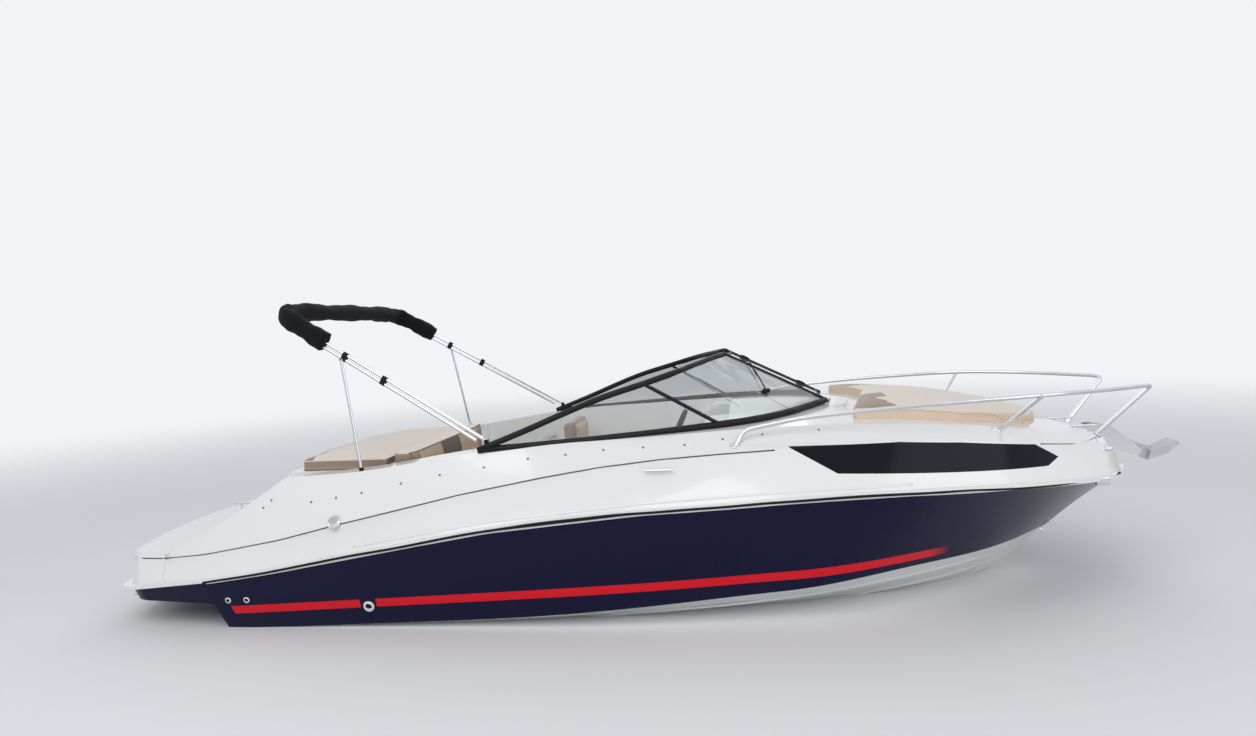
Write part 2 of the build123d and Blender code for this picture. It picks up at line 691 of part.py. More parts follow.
# Engine hatch with the sunpad on it, hinged along its aft edge
hatch_arm = [
    (402, 926), (402, 955), (399.6, 955), (392, 974), (370, 974),
    (366, 962), (374, 952), (393, 952), (396, 926),
]
hatch_ear = [(368, 900), (391, 900), (391, 966), (380, 974), (369, 966)]
with BuildPart() as hatch:
    add(block((SUNPAD_AFT, -SUNPAD_STARBOARD, HATCH_Z), (SUNPAD_FRONT, SUNPAD_PORT, HATCH_Z + HATCH_T)))
    for y in HATCH_HINGES:
        add(side_prism(hatch_arm, y - HINGE_PLATE / 2, y + HINGE_PLATE / 2))
        add(pin_y(*HATCH_PIN, y - HINGE_PLATE, y + HINGE_PLATE, HATCH_PIN_R + FIT), mode=Mode.SUBTRACT)
keep(hatch.part, "engine_hatch")
with BuildPart() as hatch_hinges:
    for y in HATCH_HINGES:
        near = HINGE_PLATE / 2 + EAR_GAP
        for side in (-1, 1):
            edges = sorted((y + side * near, y + side * (near + EAR_T)))
            add(side_prism(hatch_ear, *edges))
        add(pin_y(*HATCH_PIN, y - near - EAR_T, y + near + EAR_T, HATCH_PIN_R))
    add(quarter_deck, mode=Mode.SUBTRACT)
keep(hatch_hinges.part, "hatch_hinges")
with BuildPart() as sunpad:
    with BuildSketch(Plane.XY.offset(HATCH_Z + HATCH_T + SOFT_GAP)) as sunpad_plan:
        with Locations(((SUNPAD_AFT + SUNPAD_FRONT) / 2, (SUNPAD_PORT - SUNPAD_STARBOARD) / 2)):
            RectangleRounded(SUNPAD_FRONT - SUNPAD_AFT, SUNPAD_PORT + SUNPAD_STARBOARD, 60)
    extrude(amount=SUNPAD_T)
    fillet(sunpad.faces().sort_by(Axis.Z)[-1].edges(), 25)
keep(sunpad.part, "sunpad_cushion")

# Aft bench across the cockpit
bench_aft = COCKPIT_AFT + LINER_WALL
with BuildPart() as bench:
    add(block((bench_aft, -BENCH_HALF, SOLE_Z), (BENCH_FRONT, BENCH_PORT, BENCH_Z)))
    add(block(
        (bench_aft + LINER_WALL, -BENCH_HALF + LINER_WALL, SOLE_Z - 1),
        (BENCH_FRONT - LINER_WALL, BENCH_PORT - LINER_WALL, BENCH_Z - LINER_WALL),
    ), mode=Mode.SUBTRACT)
    add(cockpit_space, mode=Mode.INTERSECT)
keep(bench.part, "aft_bench_base")
with BuildPart() as bench_pads:
    pad_low, pad_high = -BENCH_HALF + 5, BENCH_PORT - 5
    seat_top = BENCH_Z + SOFT_GAP + PAD_T
    back_front = bench_aft + SOFT_GAP + BACK_T
    add(block(
        (bench_aft + SOFT_GAP, pad_low, BENCH_Z + SOFT_GAP), (BENCH_FRONT + 15, pad_high, seat_top), 25,
    ))
    add(block((bench_aft + SOFT_GAP, pad_low, seat_top + SOFT_GAP), (back_front, pad_high, BACK_Z), 25))
    add(cockpit_space, mode=Mode.INTERSECT)
keep(bench_pads.part, "aft_bench_cushions")

# Helm and companion consoles, trimmed to the cockpit's walls
wheel_axis = Vector(-cos(radians(WHEEL_TILT)), 0, sin(radians(WHEEL_TILT)))
wheel_plane = Plane(origin=WHEEL_AT, x_dir=(0, 1, 0), z_dir=wheel_axis)
wheel_centre = Vector(*WHEEL_AT)
with BuildPart() as helm_console:
    add(side_prism(HELM_CONSOLE, -COCKPIT_HALF, DOOR_LOW - CONSOLE_INSET))
    add(cockpit_space, mode=Mode.INTERSECT)
    add(rod(wheel_centre - wheel_axis * 20, wheel_centre - wheel_axis * 160, COLUMN_R))
    add(rod(wheel_centre, wheel_centre - wheel_axis * 110, SHAFT_R + FIT), mode=Mode.SUBTRACT)
keep(helm_console.part, "helm_console")
with BuildPart() as port_console:
    add(side_prism(PORT_CONSOLE, DOOR_HIGH + CONSOLE_INSET, COCKPIT_HALF))
    add(cockpit_space, mode=Mode.INTERSECT)
keep(port_console.part, "port_console")

# Steering wheel: round rim, three flat spokes, hub and shaft
with BuildPart() as wheel:
    with BuildSketch(wheel_plane):
        Circle(WHEEL_HUB_R)
        for angle in (-30, 90, 210):
            with Locations(Location((0, 0, 0), (0, 0, angle))):
                with Locations((WHEEL_R / 2, 0)):
                    Rectangle(WHEEL_R - RIM_R, 24)
    extrude(amount=8, both=True)
    with Locations(wheel_plane.location):
        Torus(WHEEL_R, RIM_R)
    add(rod(wheel_centre - wheel_axis * 19, wheel_centre + wheel_axis * 18, WHEEL_HUB_R))
    add(rod(wheel_centre, wheel_centre - wheel_axis * 105, SHAFT_R))
keep(wheel.part, "steering_wheel")

# Two cockpit seats on pedestals
with BuildPart() as pedestals:
    for y in SEAT_Y:
        add(rod((SEAT_X, y, SOLE_Z), (SEAT_X, y, SOLE_Z + 12), PEDESTAL_FOOT_R))
        add(rod((SEAT_X, y, SOLE_Z + 10), (SEAT_X, y, SEAT_Z), PEDESTAL_R))
keep(pedestals.part, "seat_pedestals")
with BuildPart() as seats:
    for y in SEAT_Y:
        half = SEAT_LENGTH / 2
        add(block(
            (SEAT_X - half, y - half, SEAT_Z + SOFT_GAP), (SEAT_X + half, y + half, SEAT_Z + SEAT_PAD_T), 35,
        ))
        back = SEAT_X - half - SEAT_RECLINE
        add(block((back, y - half, SEAT_Z + SEAT_PAD_T / 2), (back + SEAT_BACK_T, y + half, SEAT_BACK_Z), 35))
keep(seats.part, "cockpit_seats")

# Cabin: sliding door in its tracks, berth and its cushion
door_low = (COCKPIT_FRONT + 4, DOOR_LOW - 15, SOLE_Z + DOOR_SILL - 10)
door_high = (COCKPIT_FRONT + 4 + DOOR_T, DOOR_HIGH + 15, DOOR_TOP + 15)
with BuildPart() as door:
    add(block(door_low, door_high))
keep(door.part, "cabin_door")
with BuildPart() as tracks:
    below_door = (door_low[2] - 14, door_low[2] - SOFT_GAP)
    above_door = (door_high[2] + SOFT_GAP, door_high[2] + 14)
    for low, high in (below_door, above_door):
        add(block((COCKPIT_FRONT, door_low[1] - DOOR_TRAVEL, low), (door_high[0] + 4, door_high[1], high)))
keep(tracks.part, "door_tracks")
with BuildPart() as berth:
    add(block((BERTH_AFT, -1100, BERTH_Z - 20), (BERTH_FORE, 1100, BERTH_Z)))
    add(hull_hollow, mode=Mode.INTERSECT)
keep(berth.part, "cabin_berth")
with BuildPart() as berth_pad:
    berth_low = (BERTH_AFT + 20, -BERTH_PAD_HALF, BERTH_Z + SOFT_GAP)
    add(block(berth_low, (BERTH_PAD_FORE, BERTH_PAD_HALF, BERTH_Z + BERTH_PAD_T), 20))
    add(hull_hollow, mode=Mode.INTERSECT)
keep(berth_pad.part, "berth_cushion")

# Windshield: two wraparound sides with a hinged panel between them
post_foot = (CENTRE_FOOT[0], -CENTRE_HALF, CENTRE_FOOT[1])
post_head = (CENTRE_TOP[0], -CENTRE_HALF, CENTRE_TOP[1])
top_rail = [(x, -y, z) for x, y, z in TOP_RAIL] + [post_head]
sill_rail = [(x, -y, z) for x, y, z in SILL_RAIL] + [post_foot]
lean = (Vector(*post_head) - Vector(*post_foot)).normalized()
hinge_out = Vector(lean.Z, 0, -lean.X) * HINGE_OUT
hinge_foot = Vector(CENTRE_FOOT[0], CENTRE_HALF - FRAME_R - CENTRE_GAP / 2, CENTRE_FOOT[1]) + hinge_out
hinge_run = (Vector(*post_head) - Vector(*post_foot)).length
with BuildPart() as frame_side:
    add(tube(top_rail, corner_radii(top_rail, FRAME_BEND), FRAME_R))
    add(tube(sill_rail, corner_radii(sill_rail, FRAME_BEND), FRAME_R))
    add(rod(post_foot, post_head, FRAME_R - 3))
    add(rod(sill_rail[DIVIDER_SILL], top_rail[DIVIDER_TOP], DIVIDER_R))
    add(deck_solid, mode=Mode.SUBTRACT)
with BuildPart() as windshield_frames:
    add(frame_side.part)
    add(mirrored(frame_side.part))
    for share in HINGE_AT:
        pin = hinge_foot + lean * (hinge_run * share)
        add(rod(pin - lean * (HINGE_TAB + 6), pin + lean * (HINGE_TAB + 6), HINGE_R))
        for end in (-1, 1):
            tab = pin + lean * (HINGE_TAB * end)
            add(rod(tab, tab - hinge_out + Vector(0, CENTRE_GAP, 0), BARREL_R - 1))
keep(windshield_frames.part, "windshield_frames")


def glass_edge(point, other, rail, index, clear):
    """Point on the line from a rail's corner to the pane's far edge, clear of the rail's bar."""
    here = Vector(*point)
    toward = (Vector(*other) - here).normalized()
    runs = [Vector(*rail[i + 1]) - Vector(*rail[i]) for i in (index - 1, index) if 0 <= i < len(rail) - 1]
    slant = min(abs(sin(radians(toward.get_angle(run)))) for run in runs)
    reach = here + toward * (clear / slant)
    return (reach.X, reach.Y, reach.Z)


def on_sill(x):
    """Point of the starboard sill rail at x."""
    for low, high in zip(sill_rail, sill_rail[1:]):
        if low[0] <= x <= high[0]:
            share = (x - low[0]) / (high[0] - low[0])
            return tuple(a + (b - a) * share for a, b in zip(low, high))


glass_clear = FRAME_R + GLASS_GAP
side_cuts = []
for index, x in ((1, 1900), (2, 2150), (3, 2453)):
    low, high = on_sill(x), top_rail[index]
    side_cuts.append((
        glass_edge(low, high, sill_rail, 0, glass_clear), glass_edge(high, low, top_rail, index, glass_clear),
    ))
divider_foot, divider_head = Vector(*sill_rail[DIVIDER_SILL]), Vector(*top_rail[DIVIDER_TOP])
slope_of_divider = radians((divider_head - divider_foot).get_angle(Vector(-1, 0, 0)))
aside = Vector((DIVIDER_R + GLASS_GAP) / sin(slope_of_divider), 0, 0)
side_cuts.append((
    glass_edge(tuple(divider_foot - aside), tuple(divider_head - aside), sill_rail, 1, glass_clear),
    glass_edge(tuple(divider_head - aside), tuple(divider_foot - aside), top_rail, 3, glass_clear),
))
front_cuts = [(
    glass_edge(tuple(divider_foot + aside), tuple(divider_head + aside), sill_rail, 2, glass_clear),
    glass_edge(tuple(divider_head + aside), tuple(divider_foot + aside), top_rail, 4, glass_clear),
)]
for low_index, high_index in ((3, 5), (4, 6)):
    low, high = sill_rail[low_index], top_rail[high_index]
    front_cuts.append((
        glass_edge(low, high, sill_rail, low_index, glass_clear),
        glass_edge(high, low, top_rail, high_index, glass_clear),
    ))
inner_ends = []
for rail in (sill_rail, top_rail):
    along = Vector(*rail[-2]) - Vector(*rail[-1])
    inner_ends.append(tuple(Vector(*rail[-1]) + along * (FRAME_R / (rail[-1][1] - rail[-2][1]))))
low, high = inner_ends
front_cuts.append((
    glass_edge(low, high, sill_rail, 4, glass_clear), glass_edge(high, low, top_rail, 6, glass_clear + 6),
))
with BuildPart() as windshield_glass:
    for cuts in (side_cuts, front_cuts):
        with BuildPart(mode=Mode.PRIVATE) as glass:
            add(pane(cuts, PANE_T))
            add(frame_side.part, mode=Mode.SUBTRACT)
        add(glass.part)
        add(mirrored(glass.part))
keep(windshield_glass.part, "windshield_glass")

panel_half = CENTRE_HALF - FRAME_R - CENTRE_GAP - PANEL_R
low_corner = Vector(CENTRE_FOOT[0], 0, CENTRE_FOOT[1]) + lean * PANEL_INSET
high_corner = Vector(CENTRE_TOP[0], 0, CENTRE_TOP[1]) - lean * PANEL_INSET
across = Vector(0, panel_half, 0)
with BuildPart() as centre_frame:
    for side in (-1, 1):
        add(rod(low_corner + across * side, high_corner + across * side, PANEL_R))
    for end in (low_corner, high_corner):
        add(rod(end - across, end + across, PANEL_R))
    for share in HINGE_AT:
        pin = hinge_foot + lean * (hinge_run * share)
        add(rod(pin - lean * BARREL_HALF, pin + lean * BARREL_HALF, BARREL_R))
        add(rod(pin, pin - hinge_out - Vector(0, PANEL_R + CENTRE_GAP / 2, 0), BARREL_R - 1))
        bore_end = lean * (BARREL_HALF + 1)
        add(rod(pin - bore_end, pin + bore_end, HINGE_R + FIT), mode=Mode.SUBTRACT)
keep(centre_frame.part, "centre_panel_frame")
with BuildPart() as centre_glass:
    glass_plane = Plane(
        origin=(low_corner + high_corner) / 2, x_dir=(0, 1, 0), z_dir=Vector(0, 1, 0).cross(lean)
    )
    with BuildSketch(glass_plane):
        Rectangle(2 * (panel_half - PANEL_R), (high_corner - low_corner).length - 2 * PANEL_R)
    extrude(amount=PANE_T / 2, both=True)
keep(centre_glass.part, "centre_panel_glass")

# Bow rails: one bent tube a side on two stanchions
with BuildPart() as rail_side:
    path = [(x, -y, z) for x, y, z in BOW_RAIL]
    add(tube(path, corner_radii(path), RAIL_R))
    add(rod(*STANCHION, STANCHION_R))
    add(deck_solid, mode=Mode.SUBTRACT)
with BuildPart() as bow_rails:
    add(rail_side.part)
    add(mirrored(rail_side.part))
keep(bow_rails.part, "bow_rails")

# Bow sunpad: follows the crown of the foredeck
with BuildPart() as bow_pad:
    add(plan_prism(BOW_PAD + [(x, -y) for x, y in reversed(BOW_PAD[1:])], 900, 1500, 40))
    add(deck_solid.moved(Location((0, 0, BOW_PAD_T))), mode=Mode.INTERSECT)
    add(deck_solid.moved(Location((0, 0, SOFT_GAP))), mode=Mode.SUBTRACT)
keep(bow_pad.part, "bow_sunpad")

# Bow roller and anchor
with BuildPart() as roller:
    for y in ROLLER_CHEEKS:
        add(side_prism(CHEEK, y, y + CHEEK_T))
    add(pin_y(*ROLLER, ROLLER_CHEEKS[0] - 2, ROLLER_CHEEKS[1] + CHEEK_T + 2, ROLLER_R))
    add(block(*ROLLER_FOOT))
    add(deck_solid, mode=Mode.SUBTRACT)
keep(roller.part, "bow_roller")
with BuildPart() as anchor:
    add(side_prism(SHANK, -SHANK_HALF, SHANK_HALF))
    add(side_prism(FLUKE, -FLUKE_HALF, FLUKE_HALF))
keep(anchor.part, "anchor")

# Cleats: a pair at the bow, amidships and at the stern
with BuildPart() as cleats:
    for x, y, z, length, tilt in CLEATS:
        up = Vector(0, -sin(radians(tilt)), cos(radians(tilt)))
        middle = Vector(x, -y, z)
        reach = Vector(length / 2, 0, 0)
        with BuildPart(mode=Mode.PRIVATE) as cleat:
            add(rod(middle + up * CLEAT_RISE - reach, middle + up * CLEAT_RISE + reach, CLEAT_R))
            for foot in (-length / 5, length / 5):
                low = middle + Vector(foot, 0, 0) - up * 12
                add(rod(low, low + up * (12 + CLEAT_RISE), CLEAT_FOOT_R))
            add(quarter_deck if x < RIBS[1][0] else deck_solid, mode=Mode.SUBTRACT)
        add(cleat.part)
        add(mirrored(cleat.part))
keep(cleats.part, "cleats")

# Fuel filler, thru-hulls and bow eyes
with BuildPart() as fittings:
    add(rod(*FILLER, FILLER_R))
    for x, z, radius in OUTLETS:
        side = row_between(max(x, RIBS[0][0]))
        y = -side[6] - (side[2] - side[6]) * (z - side[5]) / (side[1] - side[5]) - side[7]
        add(rod((x, y + 12, z), (x, y - 6, z - 1), radius))
    for x, z in BOW_EYES:
        root, nose = Vector(x - 30, EYE_HALF, z + 8), Vector(x + 28, EYE_HALF, z - 18)
        turned = [(point.X, -point.Y, point.Z) for point in (root, nose)]
        add(tube([*turned, tuple(nose), tuple(root)], [14, 14], EYE_R))
    add(hull_solid, mode=Mode.SUBTRACT)
    add(deck_solid, mode=Mode.SUBTRACT)
keep(fittings.part, "hull_fittings")

# Bimini frame: two bows side by side on each leg, folded in the boot
boot_side = [(x, -y, z) for x, y, z in BOOT_LINE]
mouth = Vector(*boot_side[0])
pivot = Vector(BIMINI_PIVOT[0], -BIMINI_PIVOT[1], BIMINI_PIVOT[2])
leg_way = (mouth - pivot).normalized()
leg_below = Vector(-leg_way.Z, 0, leg_way.X).normalized()
leg_run = (mouth - pivot).length - SOFT_GAP


def both_sides(piece):
    """A starboard piece and its mirror image."""
    with BuildPart() as pair:
        add(piece)
        add(mirrored(piece))
    return pair.part


with BuildPart() as main_leg:
    add(rod(pivot + leg_way * 26, pivot + leg_way * leg_run, TUBE_R))
    add(rod(pivot, pivot + leg_way * 40, BIMINI_EYE_T / 2))
    add(pin_y(pivot.X, pivot.Z, pivot.Y - BIMINI_EYE_T / 2, pivot.Y + BIMINI_EYE_T / 2, BIMINI_EYE_R))
    add(pin_y(pivot.X, pivot.Z, pivot.Y - 20, pivot.Y + 20, BIMINI_PIN_R + FIT), mode=Mode.SUBTRACT)
keep(both_sides(main_leg.part), "bimini_main_bow")
second_foot = pivot + leg_below * TUBE_SPACING
with BuildPart() as second_leg:
    add(rod(second_foot + leg_way * 60, second_foot + leg_way * (leg_run - 1.5), TUBE_R))
keep(both_sides(second_leg.part), "bimini_second_bow")
boot_path = boot_side + [(x, -y, z) for x, y, z in reversed(boot_side)]
keep(tube(boot_path, [BOOT_TURN, BOOT_SAG, BOOT_SAG, BOOT_TURN], BOOT_R), "bimini_boot")

# Clamps that hold the two bows together; the aft one carries the strut's pin
strut_head = second_foot + leg_way * (leg_run * CLAMP_AT[1])
strut_pin = strut_head + Vector(0, -STRUT_OUT, 0)
with BuildPart() as clamp:
    for share in CLAMP_AT:
        middle = pivot + leg_way * (leg_run * share) + leg_below * (TUBE_SPACING / 2)
        with BuildSketch(Plane(origin=middle - leg_way * (CLAMP_L / 2), x_dir=leg_below, z_dir=leg_way)):
            RectangleRounded(TUBE_SPACING + CLAMP_T, CLAMP_T, CLAMP_T / 2 - 1)
        extrude(amount=CLAMP_L)
    add(pin_y(strut_head.X, strut_head.Z, strut_pin.Y - STRUT_R, strut_head.Y, BIMINI_PIN_R))
    add(rod(pivot, pivot + leg_way * leg_run, TUBE_R), mode=Mode.SUBTRACT)
    add(rod(second_foot, second_foot + leg_way * leg_run, TUBE_R), mode=Mode.SUBTRACT)
keep(both_sides(clamp.part), "bimini_clamps")

# Struts from the second bow's clamp down to a pad on the coaming
strut_low = Vector(STRUT_FOOT[0], -STRUT_FOOT[1], STRUT_FOOT[2])
strut_way = (strut_low - strut_pin).normalized()
strut_run = (strut_low - strut_pin).length
with BuildPart() as strut:
    add(rod(strut_pin, strut_pin + strut_way * (strut_run - SOFT_GAP), STRUT_R))
    add(pin_y(strut_pin.X, strut_pin.Z, strut_pin.Y - STRUT_R, strut_pin.Y + STRUT_R, BIMINI_EYE_R))
    add(pin_y(strut_pin.X, strut_pin.Z, strut_pin.Y - 30, strut_pin.Y + 30, BIMINI_PIN_R + FIT),
        mode=Mode.SUBTRACT)
keep(both_sides(strut.part), "bimini_struts")
with BuildPart() as mount:
    for side in (-1, 1):
        ear = pivot.Y + side * (BIMINI_EYE_T / 2 + EAR_GAP)
        edges = sorted((ear, ear + side * EAR_T))
        add(block((pivot.X - 11, edges[0], pivot.Z - 60), (pivot.X + 11, edges[1], pivot.Z + 9)))
    add(pin_y(pivot.X, pivot.Z, pivot.Y - 12, pivot.Y + 12, BIMINI_PIN_R))
    add(rod(strut_low, strut_low + strut_way * 70, STRUT_PAD_R))
    add(deck_solid, mode=Mode.SUBTRACT)
    add(tube(top_rail, corner_radii(top_rail, FRAME_BEND), FRAME_R), mode=Mode.SUBTRACT)
    add(tube(sill_rail, corner_radii(sill_rail, FRAME_BEND), FRAME_R), mode=Mode.SUBTRACT)
keep(both_sides(mount.part), "bimini_mounts")

# Boarding ladder folded under the platform's starboard corner
with BuildPart() as ladder:
    for y in LADDER_SIDES:
        add(rod((LADDER_RUN[0], y, LADDER_Z), (LADDER_RUN[1], y, LADDER_Z), LADDER_RAIL_R))
        add(block((LADDER_RUN[0] - 40, y - 9, LADDER_Z - 10), (LADDER_RUN[0] - 14, y + 9, UNDER_Z)))
    for x in LADDER_RUNGS:
        add(rod((x, LADDER_SIDES[0] + 2, LADDER_Z), (x, LADDER_SIDES[1] - 2, LADDER_Z), LADDER_RUNG_R))
keep(ladder.part, "boarding_ladder")

# Engine block on its two bearers
with BuildPart() as bearers:
    for y in BEARER_SIDES:
        add(block((ENGINE_AFT, y, -400), (ENGINE_AFT + ENGINE_LENGTH + 40, y + BEARER_W, ENGINE_LOW)))
    add(hull_hollow, mode=Mode.INTERSECT)
keep(bearers.part, "engine_bearers")
with BuildPart() as engine:
    engine_fore = ENGINE_AFT + ENGINE_LENGTH
    add(block((ENGINE_AFT, -ENGINE_HALF, ENGINE_LOW), (engine_fore, ENGINE_HALF, ENGINE_HIGH), 30))
keep(engine.part, "engine_block")

# Sterndrive: transom plate with its swivel arms, and the gimbal ring that steers between them
with BuildPart() as transom_plate:
    add(side_prism(PLATE, -PLATE_HALF, PLATE_HALF))
    for arm, pin in ((ARM_LOW, RING_LOW + RING_BAR - 3), (ARM_HIGH, RING_HIGH - RING_BAR + 3)):
        add(block((STEER_X - 22, -26, arm[0]), (PLATE_AFT + 1, 26, arm[1])))
        add(rod((STEER_X, 0, sum(arm) / 2), (STEER_X, 0, pin), SWIVEL_R))
    add(hull_solid, mode=Mode.SUBTRACT)
keep(transom_plate.part, "transom_plate")
with BuildPart() as gimbal:
    add(block((STEER_X - RING_DEPTH, -RING_HALF, RING_LOW), (STEER_X + RING_DEPTH, RING_HALF, RING_HIGH)))
    add(block(
        (STEER_X - RING_DEPTH - 1, -RING_HALF + RING_BAR, RING_LOW + RING_BAR),
        (STEER_X + RING_DEPTH + 1, RING_HALF - RING_BAR, RING_HIGH - RING_BAR),
    ), mode=Mode.SUBTRACT)
    add(rod((STEER_X, 0, RING_LOW - 1), (STEER_X, 0, RING_HIGH + 1), SWIVEL_R + FIT), mode=Mode.SUBTRACT)
    add(pin_y(*TILT, -RING_HALF - 1, RING_HALF + 1, SWIVEL_R + FIT), mode=Mode.SUBTRACT)
    for side in (-1, 1):
        edges = sorted((side * (RING_HALF - 4), side * (RAM_Y + RAM_EYE_T / 2 + 3)))
        add(pin_y(*RAM_FORE, *edges, RAM_PIN_R))
keep(gimbal.part, "drive_gimbal")

# Drive leg: upper housing on its tilt pins, ventilation plate, gearcase, skeg and propeller shaft
with BuildPart() as leg:
    add(side_prism(LEG_HEAD, -HEAD_HALF, HEAD_HALF))
    add(block((TILT[0] - 60, -NECK_HALF, TILT[1] - 40), (TILT[0] + 30, NECK_HALF, TILT[1] + 40)))
    add(pin_y(*TILT, -RING_HALF + 2, RING_HALF - 2, SWIVEL_R))
    add(side_prism(MID_LEG, -MID_LEG_HALF, MID_LEG_HALF))
    add(block((VENT_RUN[1], -VENT_HALF, VENT_Z), (VENT_RUN[0], VENT_HALF, VENT_Z + VENT_T)))
    add(side_prism(GEARCASE_NECK, -GEARCASE_NECK_HALF, GEARCASE_NECK_HALF))
    add(rod((-270, 0, PROP_Z), (PROP_X + 20, 0, PROP_Z), PROP_HUB_R))
    add(side_prism(SKEG, -SKEG_HALF, SKEG_HALF))
    add(rod((PROP_X + 30, 0, PROP_Z), (PROP_X - 100, 0, PROP_Z), PROP_SHAFT_R))
    add(pin_y(*RAM_AFT, -RAM_Y - RAM_EYE_T / 2 - 3, RAM_Y + RAM_EYE_T / 2 + 3, RAM_PIN_R))
keep(leg.part, "drive_leg")

# Trim cylinders beside the leg and their rods, whose eyes stay open around the leg's pin
ram_way = (Vector(RAM_AFT[0], 0, RAM_AFT[1]) - Vector(RAM_FORE[0], 0, RAM_FORE[1])).normalized()
ram_run = hypot(RAM_AFT[0] - RAM_FORE[0], RAM_AFT[1] - RAM_FORE[1])
ram_start = Vector(RAM_FORE[0], -RAM_Y, RAM_FORE[1])
ram_end = Vector(RAM_AFT[0], -RAM_Y, RAM_AFT[1])
eye_bore = RAM_PIN_R + RAM_EYE_SLACK
with BuildPart() as cylinder:
    add(rod(ram_start + ram_way * 12, ram_start + ram_way * RAM_BODY, RAM_R))
    add(pin_y(RAM_FORE[0], RAM_FORE[1], -RAM_Y - RAM_EYE_T / 2, -RAM_Y + RAM_EYE_T / 2, RAM_EYE_R))
    add(rod(ram_start + ram_way * 30, ram_start + ram_way * (RAM_BODY + 1), RAM_ROD_R + FIT),
        mode=Mode.SUBTRACT)
    add(pin_y(RAM_FORE[0], RAM_FORE[1], -RAM_Y - 40, -RAM_Y + 40, RAM_PIN_R + FIT), mode=Mode.SUBTRACT)
keep(both_sides(cylinder.part), "trim_cylinders")
with BuildPart() as ram_rod:
    add(rod(ram_start + ram_way * 40, ram_end - ram_way * (eye_bore + 3), RAM_ROD_R))
    add(pin_y(RAM_AFT[0], RAM_AFT[1], -RAM_Y - RAM_EYE_T / 2, -RAM_Y + RAM_EYE_T / 2, eye_bore + 7))
    add(pin_y(RAM_AFT[0], RAM_AFT[1], -RAM_Y - 40, -RAM_Y + 40, eye_bore), mode=Mode.SUBTRACT)
keep(both_sides(ram_rod.part), "trim_rods")

# Three-bladed propeller
with BuildPart() as propeller:
    add(rod((PROP_X + 10, 0, PROP_Z), (PROP_X - 80, 0, PROP_Z), PROP_HUB_R - 8))
    for angle in range(0, 360, 120):
        out = Vector(0, cos(radians(angle)), sin(radians(angle)))
        swirl = Vector(1, 0, 0).cross(out)
        with BuildPart(mode=Mode.PRIVATE) as blade:
            for reach, twist, chord in BLADE:
                across = Vector(1, 0, 0) * sin(radians(twist)) + swirl * cos(radians(twist))
                root = Vector(PROP_X - 35, 0, PROP_Z)
                with BuildSketch(Plane(origin=root + out * reach, x_dir=across, z_dir=out)):
                    Rectangle(chord, BLADE_T)
            loft()
        add(blade.part)
    add(rod((PROP_X + 40, 0, PROP_Z), (PROP_X - 110, 0, PROP_Z), PROP_SHAFT_R + FIT), mode=Mode.SUBTRACT)
keep(propeller.part, "propeller")
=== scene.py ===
import math
import bmesh
import bpy
import numpy as np
from mathutils import Matrix, Vector
from mathutils.bvhtree import BVHTree


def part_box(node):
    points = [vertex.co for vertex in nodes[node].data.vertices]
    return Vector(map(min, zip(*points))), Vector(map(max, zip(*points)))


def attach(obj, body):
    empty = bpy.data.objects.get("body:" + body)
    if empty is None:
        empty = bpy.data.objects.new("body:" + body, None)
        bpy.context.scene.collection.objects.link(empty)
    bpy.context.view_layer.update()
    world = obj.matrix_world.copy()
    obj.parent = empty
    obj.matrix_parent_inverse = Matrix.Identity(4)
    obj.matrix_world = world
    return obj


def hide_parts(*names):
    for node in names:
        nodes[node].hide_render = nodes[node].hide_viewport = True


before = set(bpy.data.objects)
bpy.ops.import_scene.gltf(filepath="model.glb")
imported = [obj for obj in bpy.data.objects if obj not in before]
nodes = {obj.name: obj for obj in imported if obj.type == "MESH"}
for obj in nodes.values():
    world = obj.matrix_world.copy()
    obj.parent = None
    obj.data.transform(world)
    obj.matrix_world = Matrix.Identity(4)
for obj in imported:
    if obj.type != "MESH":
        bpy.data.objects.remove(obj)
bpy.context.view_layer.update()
hull = "hull_body"

cameraView = {
    "place": (3.344, -5.700, 1.817),
    "right": (0.98815, 0.14377, -0.05374),
    "up": (0.04451, 0.06664, 0.99678),
    "forward": (-0.14689, 0.98736, -0.05945),
    "focalPixels": 809,
    "imageWidth": 1256,
    "sensor": 36,
}


def makeCamera():
    data = bpy.data.cameras.new("camera")
    data.sensor_width = cameraView["sensor"]
    data.lens = cameraView["focalPixels"] * cameraView["sensor"] / cameraView["imageWidth"]
    camera = bpy.data.objects.new("camera", data)
    bpy.context.scene.collection.objects.link(camera)
    back = -Vector(cameraView["forward"])
    turn = Matrix((cameraView["right"], cameraView["up"], back)).transposed()
    camera.matrix_world = Matrix.Translation(cameraView["place"]) @ turn.to_4x4()
    bpy.context.scene.camera = camera


makeCamera()
print("camera set")


# shader maths: Wire wraps a socket, Finish is one material
class Wire:
    def __init__(self, finish, socket):
        self.finish, self.socket = finish, socket

    def maths(self, operation, *others):
        inputs = {0: self, **dict(enumerate(others, 1))}
        return self.finish.node("ShaderNodeMath", {"operation": operation}, inputs)

    def __add__(self, other):
        return self.maths("ADD", other)

    def __mul__(self, other):
        return self.maths("MULTIPLY", other)

    def __sub__(self, other):
        return self.maths("SUBTRACT", other)

    def __rsub__(self, other):
        return self.finish.node("ShaderNodeMath", {"operation": "SUBTRACT"}, {0: other, 1: self})

    def above(self, level, soft):  # 0 below the level, 1 above it
        return self.finish.node("ShaderNodeMapRange", {"clamp": True}, {
            "Value": self, "From Min": level - soft, "From Max": level + soft,
        })


